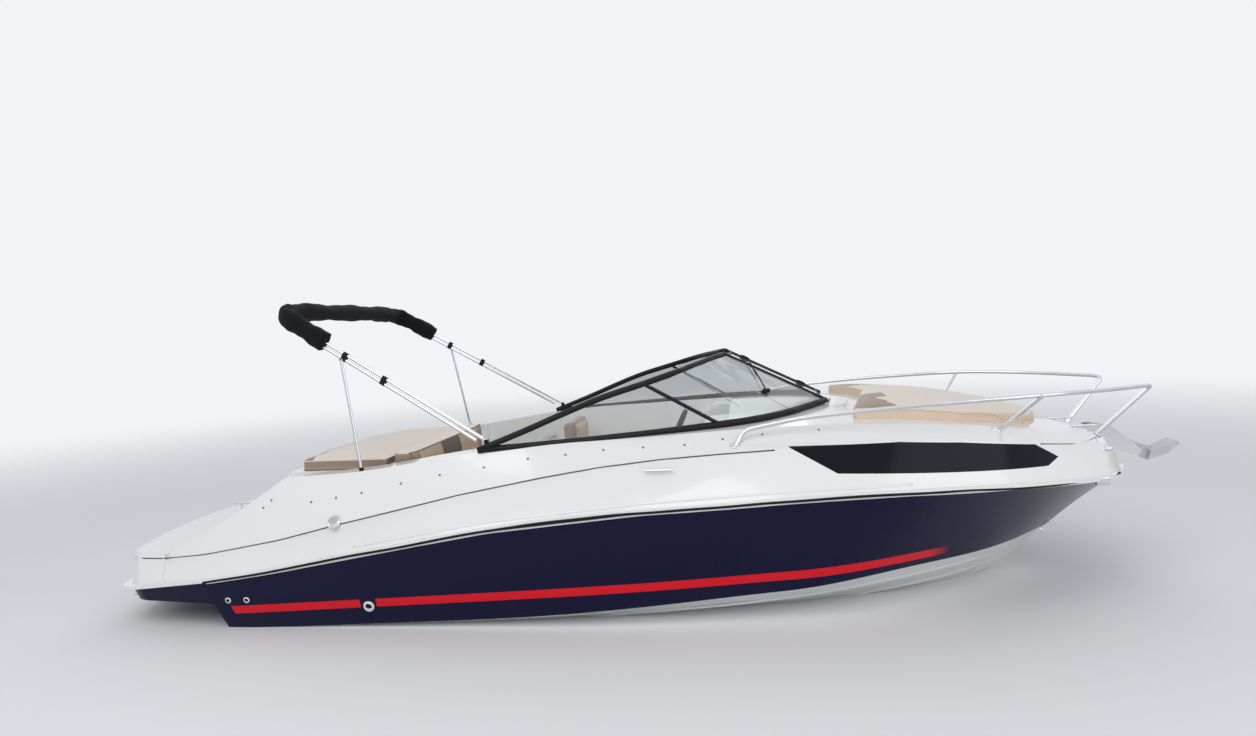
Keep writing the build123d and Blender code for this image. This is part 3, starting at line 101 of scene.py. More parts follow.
class Finish:
    def __init__(self, name, **constants):
        self.material = bpy.data.materials.new(name)
        self.material.use_nodes = True
        self.tree = self.material.node_tree
        self.shader = self.tree.nodes["Principled BSDF"]
        for socket, value in constants.items():
            self.shader.inputs[socket.replace("_", " ")].default_value = value

    def node(self, kind, settings=None, inputs=None, out=0):
        made = self.tree.nodes.new(kind)
        for key, value in (settings or {}).items():
            setattr(made, key, value)
        for key, value in (inputs or {}).items():
            if isinstance(value, Wire):
                self.tree.links.new(value.socket, made.inputs[key])
            else:
                made.inputs[key].default_value = value
        return Wire(self, made.outputs[out])

    def feed(self, socket, wire):
        self.tree.links.new(wire.socket, self.shader.inputs[socket])

    def coords(self):
        return self.node("ShaderNodeTexCoord", out="Object")

    def axes(self):
        split = self.tree.nodes.new("ShaderNodeSeparateXYZ")
        self.tree.links.new(self.coords().socket, split.inputs[0])
        return [Wire(self, socket) for socket in split.outputs]

    def noise(self, scale, detail):
        inputs = {"Vector": self.coords(), "Scale": scale, "Detail": detail}
        return self.node("ShaderNodeTexNoise", {}, inputs)

    def blend(self, mask, low, high):
        return self.node("ShaderNodeMix", {"data_type": "RGBA"}, {0: mask, 6: low, 7: high}, out=2)

    def bump(self, height, strength, distance):
        self.feed("Normal", self.node("ShaderNodeBump", {}, {
            "Height": height, "Strength": strength, "Distance": distance,
        }))


colours = {
    "white": (0.86, 0.865, 0.86, 1),
    "navy": (0.0045, 0.0045, 0.036, 1),
    "red": (0.76, 0.010, 0.022, 1),
    "cream": (0.80, 0.71, 0.62, 1),
    # the bow pad's sides: darker and warmer than its cream top, as painted shade
    "shadedSand": (0.79, 0.62, 0.47, 1),
    "tan": (0.58, 0.42, 0.28, 1),
    "taupe": (0.34, 0.25, 0.19, 1),
    "brown": (0.10, 0.065, 0.045, 1),
    "steel": (0.72, 0.73, 0.75, 1),
    "grey": (0.20, 0.205, 0.215, 1),
    "bottom": (0.80, 0.81, 0.80, 1),
    "piping": (0.25, 0.18, 0.13, 1),
    "bowPiping": (0.72, 0.58, 0.45, 1),
    "black": (0.008, 0.008, 0.009, 1),
    "galvanised": (0.54, 0.55, 0.57, 1),
    "drive": (0.022, 0.023, 0.026, 1),
    "clear": (0.95, 0.97, 0.97, 1),
    "dark": (0.005, 0.006, 0.011, 1),
    "canvas": (0.006, 0.006, 0.007, 1),
    "groove": (0.10, 0.105, 0.115, 1),
    "stud": (0.16, 0.16, 0.17, 1),
    "silver": (0.62, 0.63, 0.64, 1),
    "face": (0.03, 0.03, 0.032, 1),
}

finishes = {}


def shade(colour, share):  # the same colour, darker or lighter by that share
    return tuple(value * share for value in colour[:3]) + (1,)


def gelcoat(name, colour, rough=0.14, darker=0.97, coat=0.5, shine=0.5):
    made = Finish(name, Coat_Weight=coat, Coat_Roughness=0.05, Specular_IOR_Level=shine)
    made.shown = made.blend(made.noise(1.4, 2.0), shade(colour, darker), colour)
    made.feed("Base Color", made.shown)
    made.feed("Roughness", made.noise(9.0, 3.0) * 0.05 + rough)
    return made


# the red stripe: its centre line, slanted aft end and faded fore end, and the clear place round an outlet
stripe = {
    "start": 0.128, "rise": 0.0497, "half": 0.0275, "edge": 0.0012,
    "aft": 0.112, "slant": 0.27, "aftEdge": 0.0015,
    "end": 4.42, "fade": 0.06,
    "gapX": 0.985, "gap": 0.052, "gapEdge": 0.004,
}


def hullSides():
    made = gelcoat("navy_gelcoat", colours["navy"], 0.15, 0.9, coat=0, shine=0.18)
    x, y, z = made.axes()
    centre = x * stripe["rise"] + stripe["start"]
    away = (z - centre).maths("ABSOLUTE")
    band = 1 - away.above(stripe["half"], stripe["edge"])
    fore = 1 - x.above(stripe["end"], stripe["fade"])
    clear = (x - stripe["gapX"]).maths("ABSOLUTE").above(stripe["gap"], stripe["gapEdge"])
    aft = (x + z * stripe["slant"]).above(stripe["aft"], stripe["aftEdge"])
    made.feed("Base Color", made.blend(band * fore * clear * aft, made.shown, colours["red"]))
    return made


def tread(name, low, high):  # white gelcoat with a moulded non-skid grain between two heights
    made = gelcoat(name, colours["white"])
    z = made.axes()[2]
    flat = z.above(low, 0.001) * (1 - z.above(high, 0.001))
    grain = made.node("ShaderNodeTexVoronoi", {"feature": "F1"}, {"Vector": made.coords(), "Scale": 170.0})
    made.bump(grain * flat, 0.5, 0.0012)
    made.feed("Roughness", flat * 0.35 + 0.16)
    return made


def vinyl(name, colour, zones=()):  # each zone: a colour and a function that makes its mask
    made = Finish(name, Specular_IOR_Level=0.35, Sheen_Weight=0.08)
    shown = made.blend(made.noise(3.0, 2.0), shade(colour, 0.9), colour)
    for tint, mask in zones:
        shown = made.blend(mask(made), shown, tint)
    made.feed("Base Color", shown)
    pores = made.node("ShaderNodeTexVoronoi", {"feature": "DISTANCE_TO_EDGE"}, {
        "Vector": made.coords(), "Scale": 240.0, "Randomness": 0.9,
    })
    made.bump(pores + made.noise(60.0, 3.0) * 0.6, 0.35, 0.0012)
    made.feed("Roughness", made.noise(25.0, 3.0) * 0.2 + 0.38)
    return made


def facing(made, axis, level=0.7):  # 1 where the surface faces along that axis
    split = made.tree.nodes.new("ShaderNodeSeparateXYZ")
    made.tree.links.new(made.node("ShaderNodeTexCoord", out="Normal").socket, split.inputs[0])
    return Wire(made, split.outputs[axis]).above(level, 0.04)


def within(made, axis, low, high):  # 1 between two places along that axis
    along = made.axes()[axis]
    return along.above(low, 0.0012) * (1 - along.above(high, 0.0012))


sunpadTop = {"border": 0.085, "level": 1.019, "front": 1.058, "soft": 0.0015}


def seamed(made):  # the sunpad's top inside its border
    x, y, z = made.axes()
    away = made.node("ShaderNodeAttribute", {"attribute_name": "seam"}, out="Fac")
    inside = away.above(sunpadTop["border"], sunpadTop["soft"])
    return inside * z.above(sunpadTop["level"], 0.0012) * (1 - x.above(sunpadTop["front"], 0.001))


# a painted shadow on the bow pad's aft corners
bowShadeShape = {
    "front": 4.17, "inner": 0.30, "portDrop": 0.2,
    "waves": ((21.0, 0.035), (47.0, 0.015)),  # rate and height of each
}


def bowShade(made):  # painted shadow: darker corners at the bow pad's aft edge, with a waved outline
    x, y, z = made.axes()
    waves = [(y * rate).maths("SINE") * tall for rate, tall in bowShadeShape["waves"]]
    out = y.maths("ABSOLUTE").above(bowShadeShape["inner"], 0.002)
    edge = x + (waves[0] + waves[1]) - y.maths("MAXIMUM", 0.0) * bowShadeShape["portDrop"]
    return (1 - edge.above(bowShadeShape["front"], 0.0015)) * out * facing(made, 2, 0.8)


def metal(name, colour, rough, spread=0.08):
    made = Finish(name, Metallic=1.0)
    smear = made.noise(14.0, 3.0)
    made.feed("Base Color", made.blend(smear, shade(colour, 0.86), colour))
    made.feed("Roughness", smear * spread + rough)
    return made


def paint(name, colour, rough, shine=0.3):
    made = Finish(name, Specular_IOR_Level=shine)
    made.feed("Base Color", made.blend(made.noise(6.0, 4.0), shade(colour, 0.8), colour))
    made.feed("Roughness", made.noise(30.0, 3.0) * 0.15 + rough)
    made.bump(made.noise(420.0, 2.0), 0.3, 0.0004)
    return made


def glass(name, colour, clear, shine, rough=0.01):
    made = Finish(name, Transmission_Weight=clear, IOR=1.45, Specular_IOR_Level=shine)
    haze = made.noise(2.5, 3.0)
    made.feed("Base Color", made.blend(haze, shade(colour, 0.93), colour))
    made.feed("Roughness", haze * 0.02 + rough)
    return made


def canvas(name, colour):
    made = Finish(name, Sheen_Weight=0.04, Specular_IOR_Level=0.12)
    fade = made.noise(7.0, 4.0)
    made.feed("Base Color", made.blend(fade, colour, shade(colour, 1.6)))
    warp, weft = [made.node("ShaderNodeTexWave", {"bands_direction": way}, {
        "Vector": made.coords(), "Scale": 190.0, "Distortion": 1.5,
    }) for way in ("X", "DIAGONAL")]
    made.bump(warp * weft + made.noise(18.0, 4.0) * 2.0, 0.5, 0.0015)
    made.feed("Roughness", fade * 0.2 + 0.7)
    return made


benchPanels = (-0.74, -0.34, 0.0, 0.40)  # across the bench's back, where its colours change
padTops = {"bench": 1.03, "chairSplit": 0.84, "chairLow": 0.5, "over": 1.2}


def panel(tint, low, high):  # a zone between two places across the boat
    return colours[tint], lambda made: within(made, 1, low, high)


def facingPanel(axis, tint, low, high):  # one that faces along an axis, between two heights
    return colours[tint], lambda made: facing(made, axis) * within(made, 2, low, high)


def makeFinishes():
    finishes.update({
        "white": gelcoat("white_gelcoat", colours["white"]),
        "bottom": gelcoat("bottom_gelcoat", colours["bottom"], 0.28, 0.93),
        "navy": hullSides(),
        "plainNavy": gelcoat("plain_navy_gelcoat", colours["navy"], 0.2, coat=0, shine=0.15),
        "platform": tread("platform_tread", 0.4685, 0.60),
        "sole": tread("sole_tread", 0.1885, 0.192),
        "cream": vinyl("cream_vinyl", colours["cream"]),
        "taupe": vinyl("taupe_vinyl", colours["taupe"]),
        "brown": vinyl("brown_vinyl", colours["brown"]),
        "piping": vinyl("piping_vinyl", colours["piping"]),
        "bowPiping": vinyl("bow_piping", colours["bowPiping"]),
        "sunpadVinyl": vinyl("sunpad_vinyl", colours["taupe"], [(colours["cream"], seamed)]),
        "benchBack": vinyl("bench_back_vinyl", colours["taupe"], [
            *map(panel, ("tan", "brown", "tan"), benchPanels, benchPanels[1:]),
            facingPanel(2, "cream", padTops["bench"], padTops["over"]),
        ]),
        "seatVinyl": vinyl("seat_vinyl", colours["taupe"], [
            (colours["cream"], lambda made: facing(made, 2)),
        ]),
        "chairBack": vinyl("chair_back_vinyl", colours["taupe"], [
            facingPanel(0, "tan", padTops["chairSplit"], padTops["over"]),
            facingPanel(0, "cream", padTops["chairLow"], padTops["chairSplit"]),
        ]),
        # painted shade: the bow pad's sides stay a darker, warmer sand and its upward faces are cream
        "bowVinyl": vinyl("bow_vinyl", colours["shadedSand"], [
            (colours["cream"], lambda made: facing(made, 2, 0.8)), (colours["taupe"], bowShade),
        ]),
        "rubber": paint("black_rubber", colours["black"], 0.5, 0.2),
        "steel": metal("polished_stainless", colours["steel"], 0.16),
        "galvanised": metal("galvanised_steel", colours["galvanised"], 0.36, 0.2),
        "frameBlack": paint("black_frame", colours["black"], 0.42, 0.25),
        "drive": paint("drive_paint", colours["drive"], 0.3),
        "grey": paint("grey_plastic", colours["grey"], 0.5),
        "clear": glass("windshield_glass", colours["clear"], 0.98, 0.4),
        "dark": glass("dark_glass", colours["dark"], 0.0, 0.16, 0.12),
        "canvas": canvas("black_canvas", colours["canvas"]),
        "groove": paint("groove_shadow", colours["groove"], 0.4),
        "stud": metal("canvas_stud", colours["stud"], 0.35),
        "silver": metal("silver_trim", colours["silver"], 0.22),
        "face": paint("gauge_face", colours["face"], 0.35),
    })


makeFinishes()
print("materials made")

nodeFinish = {
    "hull_bottom": "bottom", "hull_topsides": "navy", "spray_strakes": "bottom", "deck_moulding": "white",
    "cabin_windows": "dark", "anchor_locker_lid": "white", "swim_platform": "platform",
    "platform_underside": "plainNavy", "rub_rail": "white", "cockpit_liner": "sole", "engine_box": "platform",
    "engine_hatch": "white", "hatch_hinges": "steel", "aft_bench_base": "white", "helm_console": "white",
    "port_console": "white", "steering_wheel": "frameBlack", "seat_pedestals": "silver", "cabin_door": "dark",
    "door_tracks": "grey", "cabin_berth": "white", "windshield_frames": "frameBlack",
    "windshield_glass": "clear", "centre_panel_frame": "frameBlack", "centre_panel_glass": "clear",
    "bow_rails": "steel", "bow_roller": "steel", "anchor": "galvanised", "cleats": "steel",
    "hull_fittings": "steel", "bimini_main_bow": "steel", "bimini_second_bow": "steel",
    "bimini_clamps": "rubber", "bimini_struts": "steel", "bimini_mounts": "rubber",
    "boarding_ladder": "steel", "engine_bearers": "white", "engine_block": "grey",
    "transom_plate": "drive", "drive_gimbal": "drive",
    "drive_leg": "drive", "trim_cylinders": "drive", "trim_rods": "steel", "propeller": "drive",
    "sunpad_cushion": "cream", "aft_bench_cushions": "cream", "cockpit_seats": "cream",
    "bow_sunpad": "cream", "berth_cushion": "cream", "bimini_boot": "canvas",
}


def dressNodes():
    for name, finish in nodeFinish.items():
        mesh = nodes[name].data
        mesh.materials.clear()
        mesh.materials.append(finishes[finish].material)


dressNodes()
print("solids dressed")


# building helpers
def asObject(name, made, finish, body=hull, smooth=True, *, slot):
    mesh = bpy.data.meshes.new(name)
    made.to_mesh(mesh)
    made.free()
    mesh.materials.append(finishes[finish].material)
    if smooth:
        mesh.shade_smooth()
    piece = bpy.data.objects.new(name, mesh)
    bpy.context.scene.collection.objects.link(piece)
    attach(piece, body)


def joined(pieces):  # several bmeshes as one
    whole = bmesh.new()
    for part in pieces:
        mesh = bpy.data.meshes.new("part")
        part.to_mesh(mesh)
        part.free()
        whole.from_mesh(mesh)
        bpy.data.meshes.remove(mesh)
    return whole


def cleaned(made, gap=0.00005):
    bmesh.ops.remove_doubles(made, verts=made.verts, dist=gap)
    bmesh.ops.recalc_face_normals(made, faces=made.faces)
    return made


def rounded(made, edges, bevel):
    bmesh.ops.bevel(made, geom=edges, offset=bevel, segments=3, profile=0.5, affect="EDGES", material=-1)


def walls(made, low, high):  # faces between two rings of vertices
    for step in range(len(low)):
        after = (step + 1) % len(low)
        made.faces.new((low[step], low[after], high[after], high[step]))


def boxShape(size, place, bevel=0.0, turn=None):
    made = bmesh.new()
    bmesh.ops.create_cube(made, size=1)
    bmesh.ops.scale(made, vec=size, verts=made.verts)
    if bevel:
        rounded(made, made.edges[:], bevel)
    if turn:
        bmesh.ops.rotate(made, cent=(0, 0, 0), matrix=turn, verts=made.verts)
    bmesh.ops.translate(made, vec=place, verts=made.verts)
    return made


def discShape(radius, height, place, along=(0, 0, 1), bevel=0.0, sides=32, topRadius=None):
    made = bmesh.new()
    bmesh.ops.create_cone(made, cap_ends=True, segments=sides, radius1=radius,
                          radius2=radius if topRadius is None else topRadius, depth=height)
    if bevel:
        rims = [edge for edge in made.edges if len(edge.link_faces) == 2
                and any(len(face.verts) > 4 for face in edge.link_faces)]
        rounded(made, rims, bevel)
    turn = Vector((0, 0, 1)).rotation_difference(Vector(along)).to_matrix()
    bmesh.ops.rotate(made, cent=(0, 0, 0), matrix=turn, verts=made.verts)
    bmesh.ops.translate(made, vec=place, verts=made.verts)
    return made


def ringShape(radius, thick, place, along=(0, 0, 1), steps=40, sides=12):
    made = bmesh.new()
    bmesh.ops.create_circle(made, segments=sides, radius=thick)
    bmesh.ops.rotate(made, cent=(0, 0, 0), matrix=Matrix.Rotation(math.pi / 2, 3, "X"), verts=made.verts)
    bmesh.ops.translate(made, vec=(radius, 0, 0), verts=made.verts)
    bmesh.ops.spin(made, geom=made.edges[:], cent=(0, 0, 0), axis=(0, 0, 1), angle=math.tau, steps=steps,
                   use_merge=True)
    turn = Vector((0, 0, 1)).rotation_difference(Vector(along)).to_matrix()
    bmesh.ops.rotate(made, cent=(0, 0, 0), matrix=turn, verts=made.verts)
    bmesh.ops.translate(made, vec=place, verts=made.verts)
    return cleaned(made)


def tubeShape(points, radius, cyclic=False):  # a bevelled curve turned into a mesh
    data = bpy.data.curves.new("run", "CURVE")
    data.dimensions = "3D"
    data.bevel_depth = radius
    data.bevel_resolution = 3
    data.resolution_u = 6
    data.use_fill_caps = True
    spline = data.splines.new("NURBS")
    spline.points.add(len(points) - 1)
    for place, point in zip(points, spline.points):
        point.co = (*place, 1)
    spline.order_u = 3
    spline.use_endpoint_u = not cyclic
    spline.use_cyclic_u = cyclic
    run = bpy.data.objects.new("run", data)
    mesh = bpy.data.meshes.new_from_object(run)
    made = bmesh.new()
    made.from_mesh(mesh)
    bpy.data.objects.remove(run)
    bpy.data.meshes.remove(mesh)
    return cleaned(made, 0.00001)


def treeOf(*names):
    merged = bmesh.new()
    for name in names:
        merged.from_mesh(nodes[name].data)
    return BVHTree.FromBMesh(merged)


shell = treeOf("hull_topsides", "deck_moulding", "swim_platform", "platform_underside", "cabin_windows")
railTree = treeOf("rub_rail")
topside = treeOf("deck_moulding", "cockpit_liner", "engine_box", "swim_platform", "anchor_locker_lid")


def sideHit(x, z, hand, lift=0.0):  # the hull's or deck's side at (x, z), seen from that hand
    place, normal, index, distance = shell.ray_cast(Vector((x, 3 * hand, z)), Vector((0, -hand, 0)))
    return place + normal * lift, normal


def topHit(x, y):  # the place and normal of what lies below (x, y)
    return topside.ray_cast(Vector((x, y, 3)), Vector((0, 0, -1)))[:2]


def between(points, x):  # height on a line of (x, z) points
    for (x0, z0), (x1, z1) in zip(points, points[1:]):
        if x0 <= x <= x1:
            return z0 + (z1 - z0) * (x - x0) / (x1 - x0)
    return points[0][1] if x < points[0][0] else points[-1][1]


def spread(start, end, count):
    return [start + (end - start) * step / (count - 1) for step in range(count)]


def eased(run, turns):  # evens out a line of places
    for turn in range(turns):
        run = run[:1] + [(a + b * 2 + c) / 4 for a, b, c in zip(run, run[1:], run[2:])] + run[-1:]
    return run


# trim lines along the sides, as points (x, z) and runs (start, end, count); the styling and bow lines are
# painted groove shade
sideLines = {
    "styling": [(-0.70, 0.436), (-0.53, 0.441), (-0.40, 0.447), (-0.104, 0.482), (0.437, 0.577),
                (0.815, 0.667), (1.634, 0.843), (2.124, 0.930), (2.481, 0.984), (2.827, 1.017),
                (3.165, 1.035), (3.499, 1.047)],
    "ridge": [(0.95, 0.545), (1.35, 0.615), (1.80, 0.690), (2.70, 0.778), (3.50, 0.823), (4.20, 0.838)],
    "rub": [(-0.084, 0.335), (0.40, 0.407), (0.90, 0.495), (1.35, 0.575), (1.80, 0.650), (2.70, 0.738),
            (3.50, 0.783), (4.20, 0.802), (4.78, 0.788), (5.22, 0.756), (5.48, 0.728), (5.60, 0.713)],
    "fore": [(4.981, 0.979), (5.10, 0.963), (5.232, 0.944), (5.36, 0.938), (5.46, 0.934)],
    "stylingRun": (-0.69, 3.47, 66), "ridgeRun": (0.95, 4.2, 60), "underRun": (-0.06, 5.56, 80),
    "insertRun": (-0.07, 5.55, 110),
    "lineRadius": 0.0042, "lineLift": -0.0012,
    "ridgeRadius": 0.009, "ridgeLift": -0.003,
    "underRadius": 0.0058, "underLift": 0.001, "underDrop": 0.021,
    "insertRadius": 0.0075,
}


def sideTrims():
    for hand, side in ((-1, "starboard"), (1, "port")):
        lift, radius = sideLines["lineLift"], sideLines["lineRadius"]
        # painted shade: grey tubes sunk into the side stand for the shade in the styling and bow grooves
        line = [sideHit(x, between(sideLines["styling"], x), hand, lift)[0]
                for x in spread(*sideLines["stylingRun"])]
        asObject("styling_groove_shade_" + side, tubeShape(line, radius), "groove", slot="grey_plastic")
        fore = [sideHit(x, z, hand, lift)[0] for x, z in sideLines["fore"]]
        asObject("bow_groove_shade_" + side, tubeShape(fore, radius), "groove", slot="grey_plastic")
        ridge = [sideHit(x, between(sideLines["ridge"], x), hand, sideLines["ridgeLift"])[0]
                 for x in spread(*sideLines["ridgeRun"])]
        ridgeTube = tubeShape(eased(ridge, 6), sideLines["ridgeRadius"])
        asObject("moulded_ridge_" + side, ridgeTube, "white", slot="white_gelcoat")
        drop, lift = sideLines["underDrop"], sideLines["underLift"]
        under = [sideHit(x, between(sideLines["rub"], x) - drop, hand, lift)[0]
                 for x in spread(*sideLines["underRun"])]
        underTube = tubeShape(under, sideLines["underRadius"])
        asObject("rail_underline_" + side, underTube, "white", slot="white_gelcoat")
    print("side trims made")


sideTrims()

snapStuds = {
    "places": [(0.278, 0.757), (0.33, 0.80), (0.628, 0.795), (0.80, 0.82), (0.973, 0.848), (1.23, 0.90),
               (1.48, 0.946), (1.76, 0.985), (2.031, 1.028), (2.26, 1.045), (2.486, 1.065), (2.72, 1.072),
               (2.961, 1.079), (3.18, 1.10), (3.407, 1.115), (3.729, 1.125)],
    "radius": 0.0075, "height": 0.004, "bevel": 0.0012, "taper": 0.8,
}


def snaps():
    radius, height, bevel = snapStuds["radius"], snapStuds["height"], snapStuds["bevel"]
    for hand, side in ((-1, "starboard"), (1, "port")):
        studs = []
        for x, z in snapStuds["places"]:
            place, normal = sideHit(x, z, hand)
            studs.append(discShape(radius, height, place + normal * (height / 2), normal, bevel, 20,
                                   radius * snapStuds["taper"]))
        asObject("canvas_snaps_" + side, joined(studs), "stud", slot="stainless")
    print("snaps set")


snaps()


# cushions: a closed form is remeshed, blown up by a short cloth simulation, and held within its cap
cushionRun = {"pressure": 4.0, "frames": 20, "quality": 4, "restFacing": 0.6, "quickShare": 0.6, "relax": 0.5}


def evaluated(thing):
    graph = bpy.context.evaluated_depsgraph_get()
    graph.update()
    return bpy.data.meshes.new_from_object(thing.evaluated_get(graph), depsgraph=graph)


def places(mesh, key="co"):
    values = np.empty(len(mesh.vertices) * 3)
    mesh.vertices.foreach_get(key, values)
    return values.reshape(-1, 3)


def putPlaces(mesh, values):
    mesh.vertices.foreach_set("co", values.ravel())
    mesh.update()


def blownUp(form, pressure):  # where the cloth's points stand after the run
    cloth = form.modifiers.new("cloth", "CLOTH")
    cloth.settings.use_pressure = True
    cloth.settings.uniform_pressure_force = pressure
    cloth.settings.effector_weights.gravity = 0
    cloth.settings.quality = cushionRun["quality"]
    cloth.point_cache.frame_end = cushionRun["frames"]
    for step in range(1, cushionRun["frames"] + 1):
        bpy.context.scene.frame_set(step)
    blown = evaluated(form)
    end = places(blown)
    bpy.data.meshes.remove(blown)
    form.modifiers.clear()
    bpy.context.scene.frame_set(1)
    return end


def puffed(name, made, pad, box, rest=((0, 0, -1),)):  # faces that look along rest don't swell
    mesh = bpy.data.meshes.new(name)
    made.to_mesh(mesh)
    made.free()
    form = bpy.data.objects.new(name, mesh)
    bpy.context.scene.collection.objects.link(form)
    remesh = form.modifiers.new("remesh", "REMESH")
    remesh.mode, remesh.voxel_size = "VOXEL", pad["voxel"]
    form.data = evaluated(form)
    form.modifiers.clear()
    normals = places(form.data, "normal").copy()
    held = np.zeros(len(normals), bool)
    for way in rest:
        held |= normals @ np.array(way, float) > cushionRun["restFacing"]
    start = places(form.data) - normals * np.where(held, 0.0, pad["inset"])[:, None]
    putPlaces(form.data, start)
    cap = pad["cap"]
    end = blownUp(form, pad.get("pressure", cushionRun["pressure"]))
    shift = end - start
    far = np.linalg.norm(shift, axis=1)[:, None] + 1e-9
    shift *= cap * np.tanh(far / cap) / far
    shift[held] = (0, 0, -pad.get("sunk", 0.0))
    putPlaces(form.data, np.clip(start + shift, *box))
    return form


def asCushion(form, finish, body=hull, replaces=(), levels=1, relaxed=3):
    form.data.materials.clear()
    form.data.materials.append(finishes[finish].material)
    form.data.shade_smooth()
    relax = form.modifiers.new("relax", "SMOOTH")
    relax.factor, relax.iterations = cushionRun["relax"], relaxed
    if levels:
        fine = form.modifiers.new("fine", "SUBSURF")
        fine.levels = fine.render_levels = levels
    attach(form, body)
    if replaces:
        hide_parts(*replaces)


def outlineShape(points, low, high, bevel):  # a prism on a plan outline, edges rounded
    made = bmesh.new()
    bottom = [made.verts.new((x, y, low)) for x, y in points]
    top = [made.verts.new((x, y, high)) for x, y in points]
    made.faces.new(bottom[::-1])
    made.faces.new(top)
    walls(made, bottom, top)
    bmesh.ops.recalc_face_normals(made, faces=made.faces)
    rounded(made, made.edges[:], bevel)
    return made


def formTree(form):
    data = evaluated(form)
    made = bmesh.new()
    made.from_mesh(data)
    bpy.data.meshes.remove(data)
    return BVHTree.FromBMesh(made)


pipeStep = 0.03


def pipe(name, form, points, body=hull, finish="piping", radius=0.0042, closed=False):  # along a cushion
    tree = formTree(form)
    run = []
    for start, end in zip(points, points[1:] + (points[:1] if closed else [])):
        count = max(2, round((Vector(end) - Vector(start)).length / pipeStep))
        run += [Vector(start).lerp(Vector(end), step / count) for step in range(count)]
    if not closed:
        run.append(Vector(points[-1]))
    near = [tree.find_nearest(place) for place in run]
    seated = [place + normal * radius * 0.3 for place, normal, index, distance in near]
    asObject(name, tubeShape(seated, radius, closed), finish, body, slot="cream_vinyl")


sunpad = {
    "plan": [(0.456, -0.892), (0.406, -0.53), (0.404, -0.13), (0.432, 0.16), (0.543, 0.45), (0.749, 0.545),
             (1.060, 0.553), (1.060, -0.892)],
    "low": 0.9556, "high": 1.030, "bevel": 0.016, "voxel": 0.011, "inset": 0.006, "cap": 0.016,
    "box": ((0.402, -0.897, 0.9556), (1.064, 0.557, 1.041)),
    "curved": 6, "pipingZ": 1.022, "pipingRadius": 0.004,
}


def makeSunpad():
    plan = sunpad["plan"]
    form = puffed("engine_sunpad", outlineShape(plan, sunpad["low"], sunpad["high"], sunpad["bevel"]), sunpad,
                  sunpad["box"])
    edge = form.data.attributes.new("seam", "FLOAT", "POINT")  # each point's distance from the rounded edge
    x, y, z = places(form.data).T
    near = np.full(len(x), 9.0)
    for (x0, y0), (x1, y1) in list(zip(plan, plan[1:]))[:sunpad["curved"]]:
        along = np.array((x1 - x0, y1 - y0))
        share = np.clip(((x - x0) * along[0] + (y - y0) * along[1]) / (along @ along), 0, 1)
        near = np.minimum(near, np.hypot(x - x0 - share * along[0], y - y0 - share * along[1]))
    edge.data.foreach_set("value", near)
    asCushion(form, "sunpadVinyl", "hatch_body", ("sunpad_cushion",))
    # painted highlight: a cream piping on the rounded top edge stands for the light that edge catches
    rim = [(x, y, sunpad["pipingZ"]) for x, y in plan]
    pipe("sunpad_highlight_piping", form, rim, "hatch_body", "cream", sunpad["pipingRadius"], True)
    print("sunpad made")


makeSunpad()

bench = {
    "aft": 1.0975, "front": 1.207, "low": -0.892, "high": 0.549, "seatZ": 0.5006, "seatTop": 0.609,
    "topZ": 1.066, "seatFront": 1.654, "bevel": 0.022, "voxel": 0.012, "inset": 0.007, "cap": 0.018,
    "backBox": ((1.0973, -0.893, 0.6108), (1.222, 0.5498, 1.0705)),
    "seatBox": ((1.0973, -0.893, 0.5003), (1.660, 0.5498, 0.6104)),
    "pipingY": (-0.885, -0.4, 0.1, 0.54), "seamIn": 0.02, "seamLow": 0.64, "seamRadius": 0.0026,
}


def makeBench():
    aft, front, top = bench["aft"], bench["front"], bench["topZ"]
    width, across = bench["high"] - bench["low"], bench["low"] + bench["high"]
    spot = Vector((aft + front, across, bench["seatTop"] + top)) / 2
    size = Vector((front - aft, width, top - bench["seatTop"]))
    spot.z, size.z = spot.z + 0.002, size.z - 0.004  # the back stands 4 mm clear of the seat
    back = puffed("bench_back", boxShape(size, spot, bench["bevel"]), bench, bench["backBox"],
                  ((0, 0, -1), (-1, 0, 0)))
    asCushion(back, "benchBack", replaces=("aft_bench_cushions",))
    spot = Vector((aft + bench["seatFront"], across, bench["seatZ"] + bench["seatTop"])) / 2
    size = Vector((bench["seatFront"] - aft, width, bench["seatTop"] - bench["seatZ"]))
    seat = puffed("bench_seat", boxShape(size, spot, bench["bevel"]), bench, bench["seatBox"])
    asCushion(seat, "seatVinyl")
    pipe("bench_top_piping", back, [(front, y, top) for y in bench["pipingY"]], finish="brown")
    for number, y in enumerate(benchPanels, 1):
        seam = [(front + bench["seamIn"], y, z) for z in (top - bench["seamIn"], bench["seamLow"])]
        pipe("bench_seam_%d" % number, back, seam, radius=bench["seamRadius"])
    print("bench made")


makeBench()

chair = {
    "x": 2.23, "sides": (-0.5, 0.5), "half": 0.24, "seat": (0.5406, 0.658), "back": (1.932, 2.038),
    "backFoot": 0.60, "backTop": 1.078, "bevel": 0.034, "voxel": 0.011, "inset": 0.007, "cap": 0.02,
    "lean": 0.06, "lowest": 0.5403, "highest": 1.08,
    "seatPipingDrop": 0.03, "backPipingIn": 0.018, "backPipingLow": 0.68, "pipingRadius": 0.0036,
}


